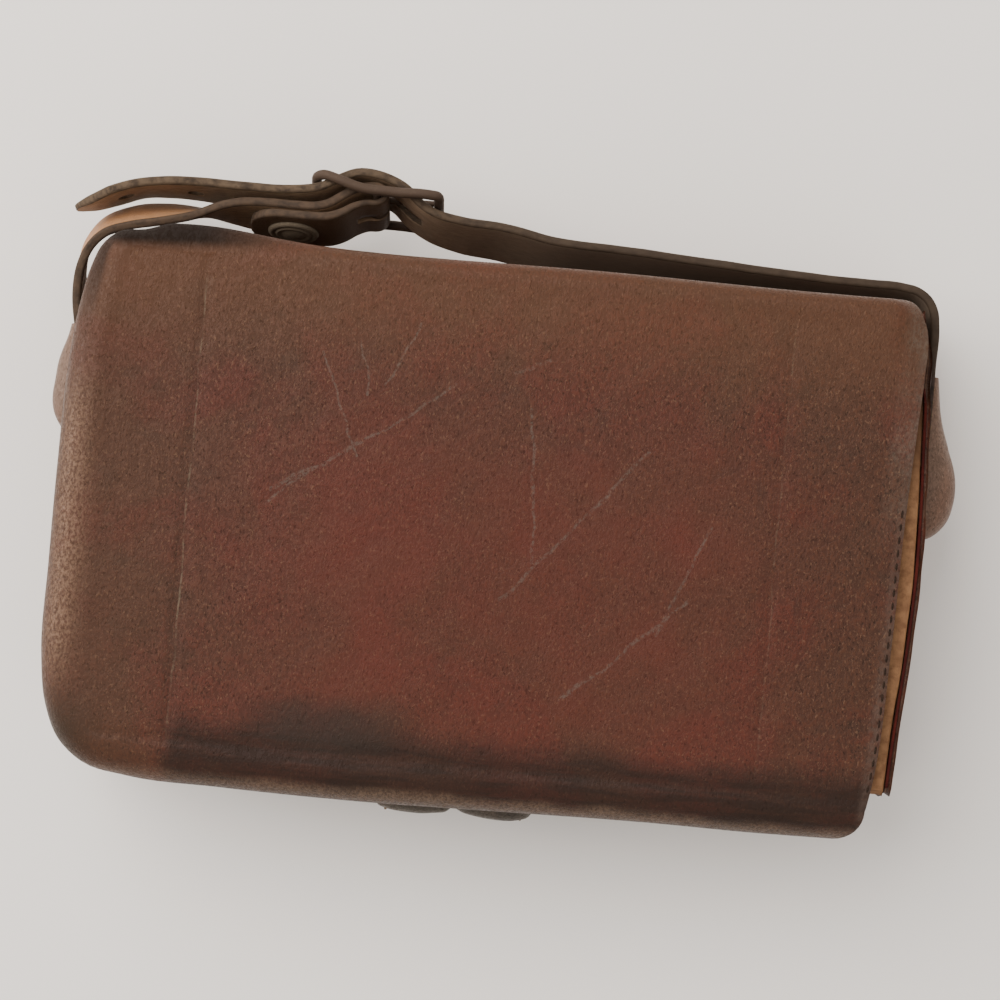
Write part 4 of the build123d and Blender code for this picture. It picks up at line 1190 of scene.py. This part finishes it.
def stud():
    """A domed button with two raised rings, through both layers of the chape."""
    centre = in_buckle(-20.0, -8.2, 0.0)
    toward = in_buckle(0, -1, 0) - BUCKLE_AT
    profile = [
        (-0.02, 0.01), (-0.02, 6.2), (0.35, 6.25), (0.75, 6.0), (0.95, 5.5), (0.95, 5.1), (0.7, 4.8),
        (0.75, 4.5), (1.1, 4.2), (1.2, 3.9), (1.05, 3.6), (0.95, 3.3), (1.15, 2.6), (1.35, 1.8),
        (1.45, 0.9), (1.48, 0.01),
    ]
    made = lathe("button_stud", profile, centre, toward, stud_metal)
    profile = [
        (0.0, 0.01), (0.0, 4.2), (0.3, 4.2), (0.6, 3.9), (0.7, 3.3), (0.75, 2.0), (0.9, 1.6), (1.1, 0.8),
        (1.15, 0.01),
    ]
    back = lathe("button_washer", profile, in_buckle(-20.0, -3.42, 0.0), -toward, buckle_wire)
    settle(made, "case", "rivet_metal", "chape_stud")
    settle(back, "case", "rivet_metal")


billet()
chape()
buckle()
prong()
stud()


# The closing tab

def closing_tab():
    """A hanging tab: two swellings with a dimple between, easing out to a rounded lower end."""
    # each row: height, half width, swelling and dimple
    height, half, full, hollow = through(
        [
            (44.8, 18.9, 0.3, 0.0), (42.5, 18.9, 2.5, 0.3), (40.2, 18.9, 3.2, 0.4), (35.2, 18.4, 3.2, 0.3),
            (27.0, 15.5, 2.1, 0.2), (21.0, 10.5, 0.8, 0.2), (18.8, 6.5, 0.3, 0.0), (18.1, 3.0, 0.1, 0.0),
        ],
        50,
    ).T[..., None]
    swell = through(
        [
            (-1, 0.2), (-0.93, 0.7), (-0.72, 0.95), (-0.45, 1), (-0.16, 0.78), (0, 0.2), (0.14, 0.6),
            (0.42, 0.95), (0.7, 1), (0.9, 0.75), (1, 0.2),
        ],
        200,
    )
    u = np.linspace(-1, 1, 61)
    x = SNAP_X + half * u
    y = LID_FRONT - full * np.interp(u, *swell.T) - hollow * bell(u, 0, 0.2)
    press = 1 - smooth(np.hypot(x - SNAP_X, height - 27.0), 6.4, 9.0)
    y = y * (1 - press) + (LID_FRONT - 0.25) * press
    grid = xyz(x, y + ripple(x, height, 97, 9) * 0.12 * (1 - press), height)
    made = thicken(piece("tab", [(grid, {})], [tab_hide, flesh, cut_edge]), 2.3)
    seam = np.concatenate([grid[6:-4, 4], grid[-4, 6:-6:3], grid[6:-4, -5][::-1]])
    stitches("tab_stitches", seam, (0, -1, 0), 2.4, "tab", "tab_leather")
    settle(made, None, "tab_leather", "closing_tab")
    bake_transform(made)


closing_tab()

# the press stud's other parts and the rivets stay as the frame has them, in old brass
for name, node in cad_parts.items():
    if name.startswith(("snap_", "strap_rivets", "strap_washers")):
        node.data.materials.clear()
        node.data.materials.append(dark_brass)


# Floor, light and camera

def stage_and_camera():
    """A pale floor, one broad soft light from the upper left and a camera looking straight down."""
    line = np.linspace(-3000, 3000, 3)
    x, y = np.meshgrid(line, line, indexing="ij")
    r = Recipe("pale_board", (241, 234, 228))
    r.lay(r.noise(120.0, 3.0, 0.5), (232, 225, 219))
    piece("floor", [(xyz(x, y, -0.05), {})], [r.finish(0.85)])

    aim = Vector((0, 0, 0.03))
    for name, place, size, energy in (
        ("soft_window", (-0.6, 0.5, 1.0), 1.3, 23.0),
        ("low_window", (-0.95, 0.1, 0.3), 0.45, 3.6),
    ):
        panel = bpy.data.lights.new(name, "AREA")
        panel.shape = "DISK"
        panel.size = size
        panel.energy = energy
        panel.color = (1.0, 0.97, 0.93)
        lamp = bpy.data.objects.new(name, panel)
        lamp.location = place
        lamp.rotation_euler = (aim - Vector(place)).to_track_quat("-Z", "Y").to_euler()
        bpy.context.scene.collection.objects.link(lamp)

    world = bpy.data.worlds.new("room")
    world.use_nodes = True
    background = world.node_tree.nodes["Background"].inputs
    background["Color"].default_value = (1.0, 0.98, 0.95, 1)
    background["Strength"].default_value = 1.08
    bpy.context.scene.world = world

    eye = bpy.data.cameras.new("camera")
    eye.lens = 92.0
    eye.sensor_width = 36.0
    eye.clip_start = 0.01
    camera = bpy.data.objects.new("camera", eye)
    camera.location = (0.00047, 0.00446, 0.658)
    camera.rotation_euler = (0, 0, radians(5.2))
    bpy.context.scene.collection.objects.link(camera)
    bpy.context.scene.camera = camera


stage_and_camera()
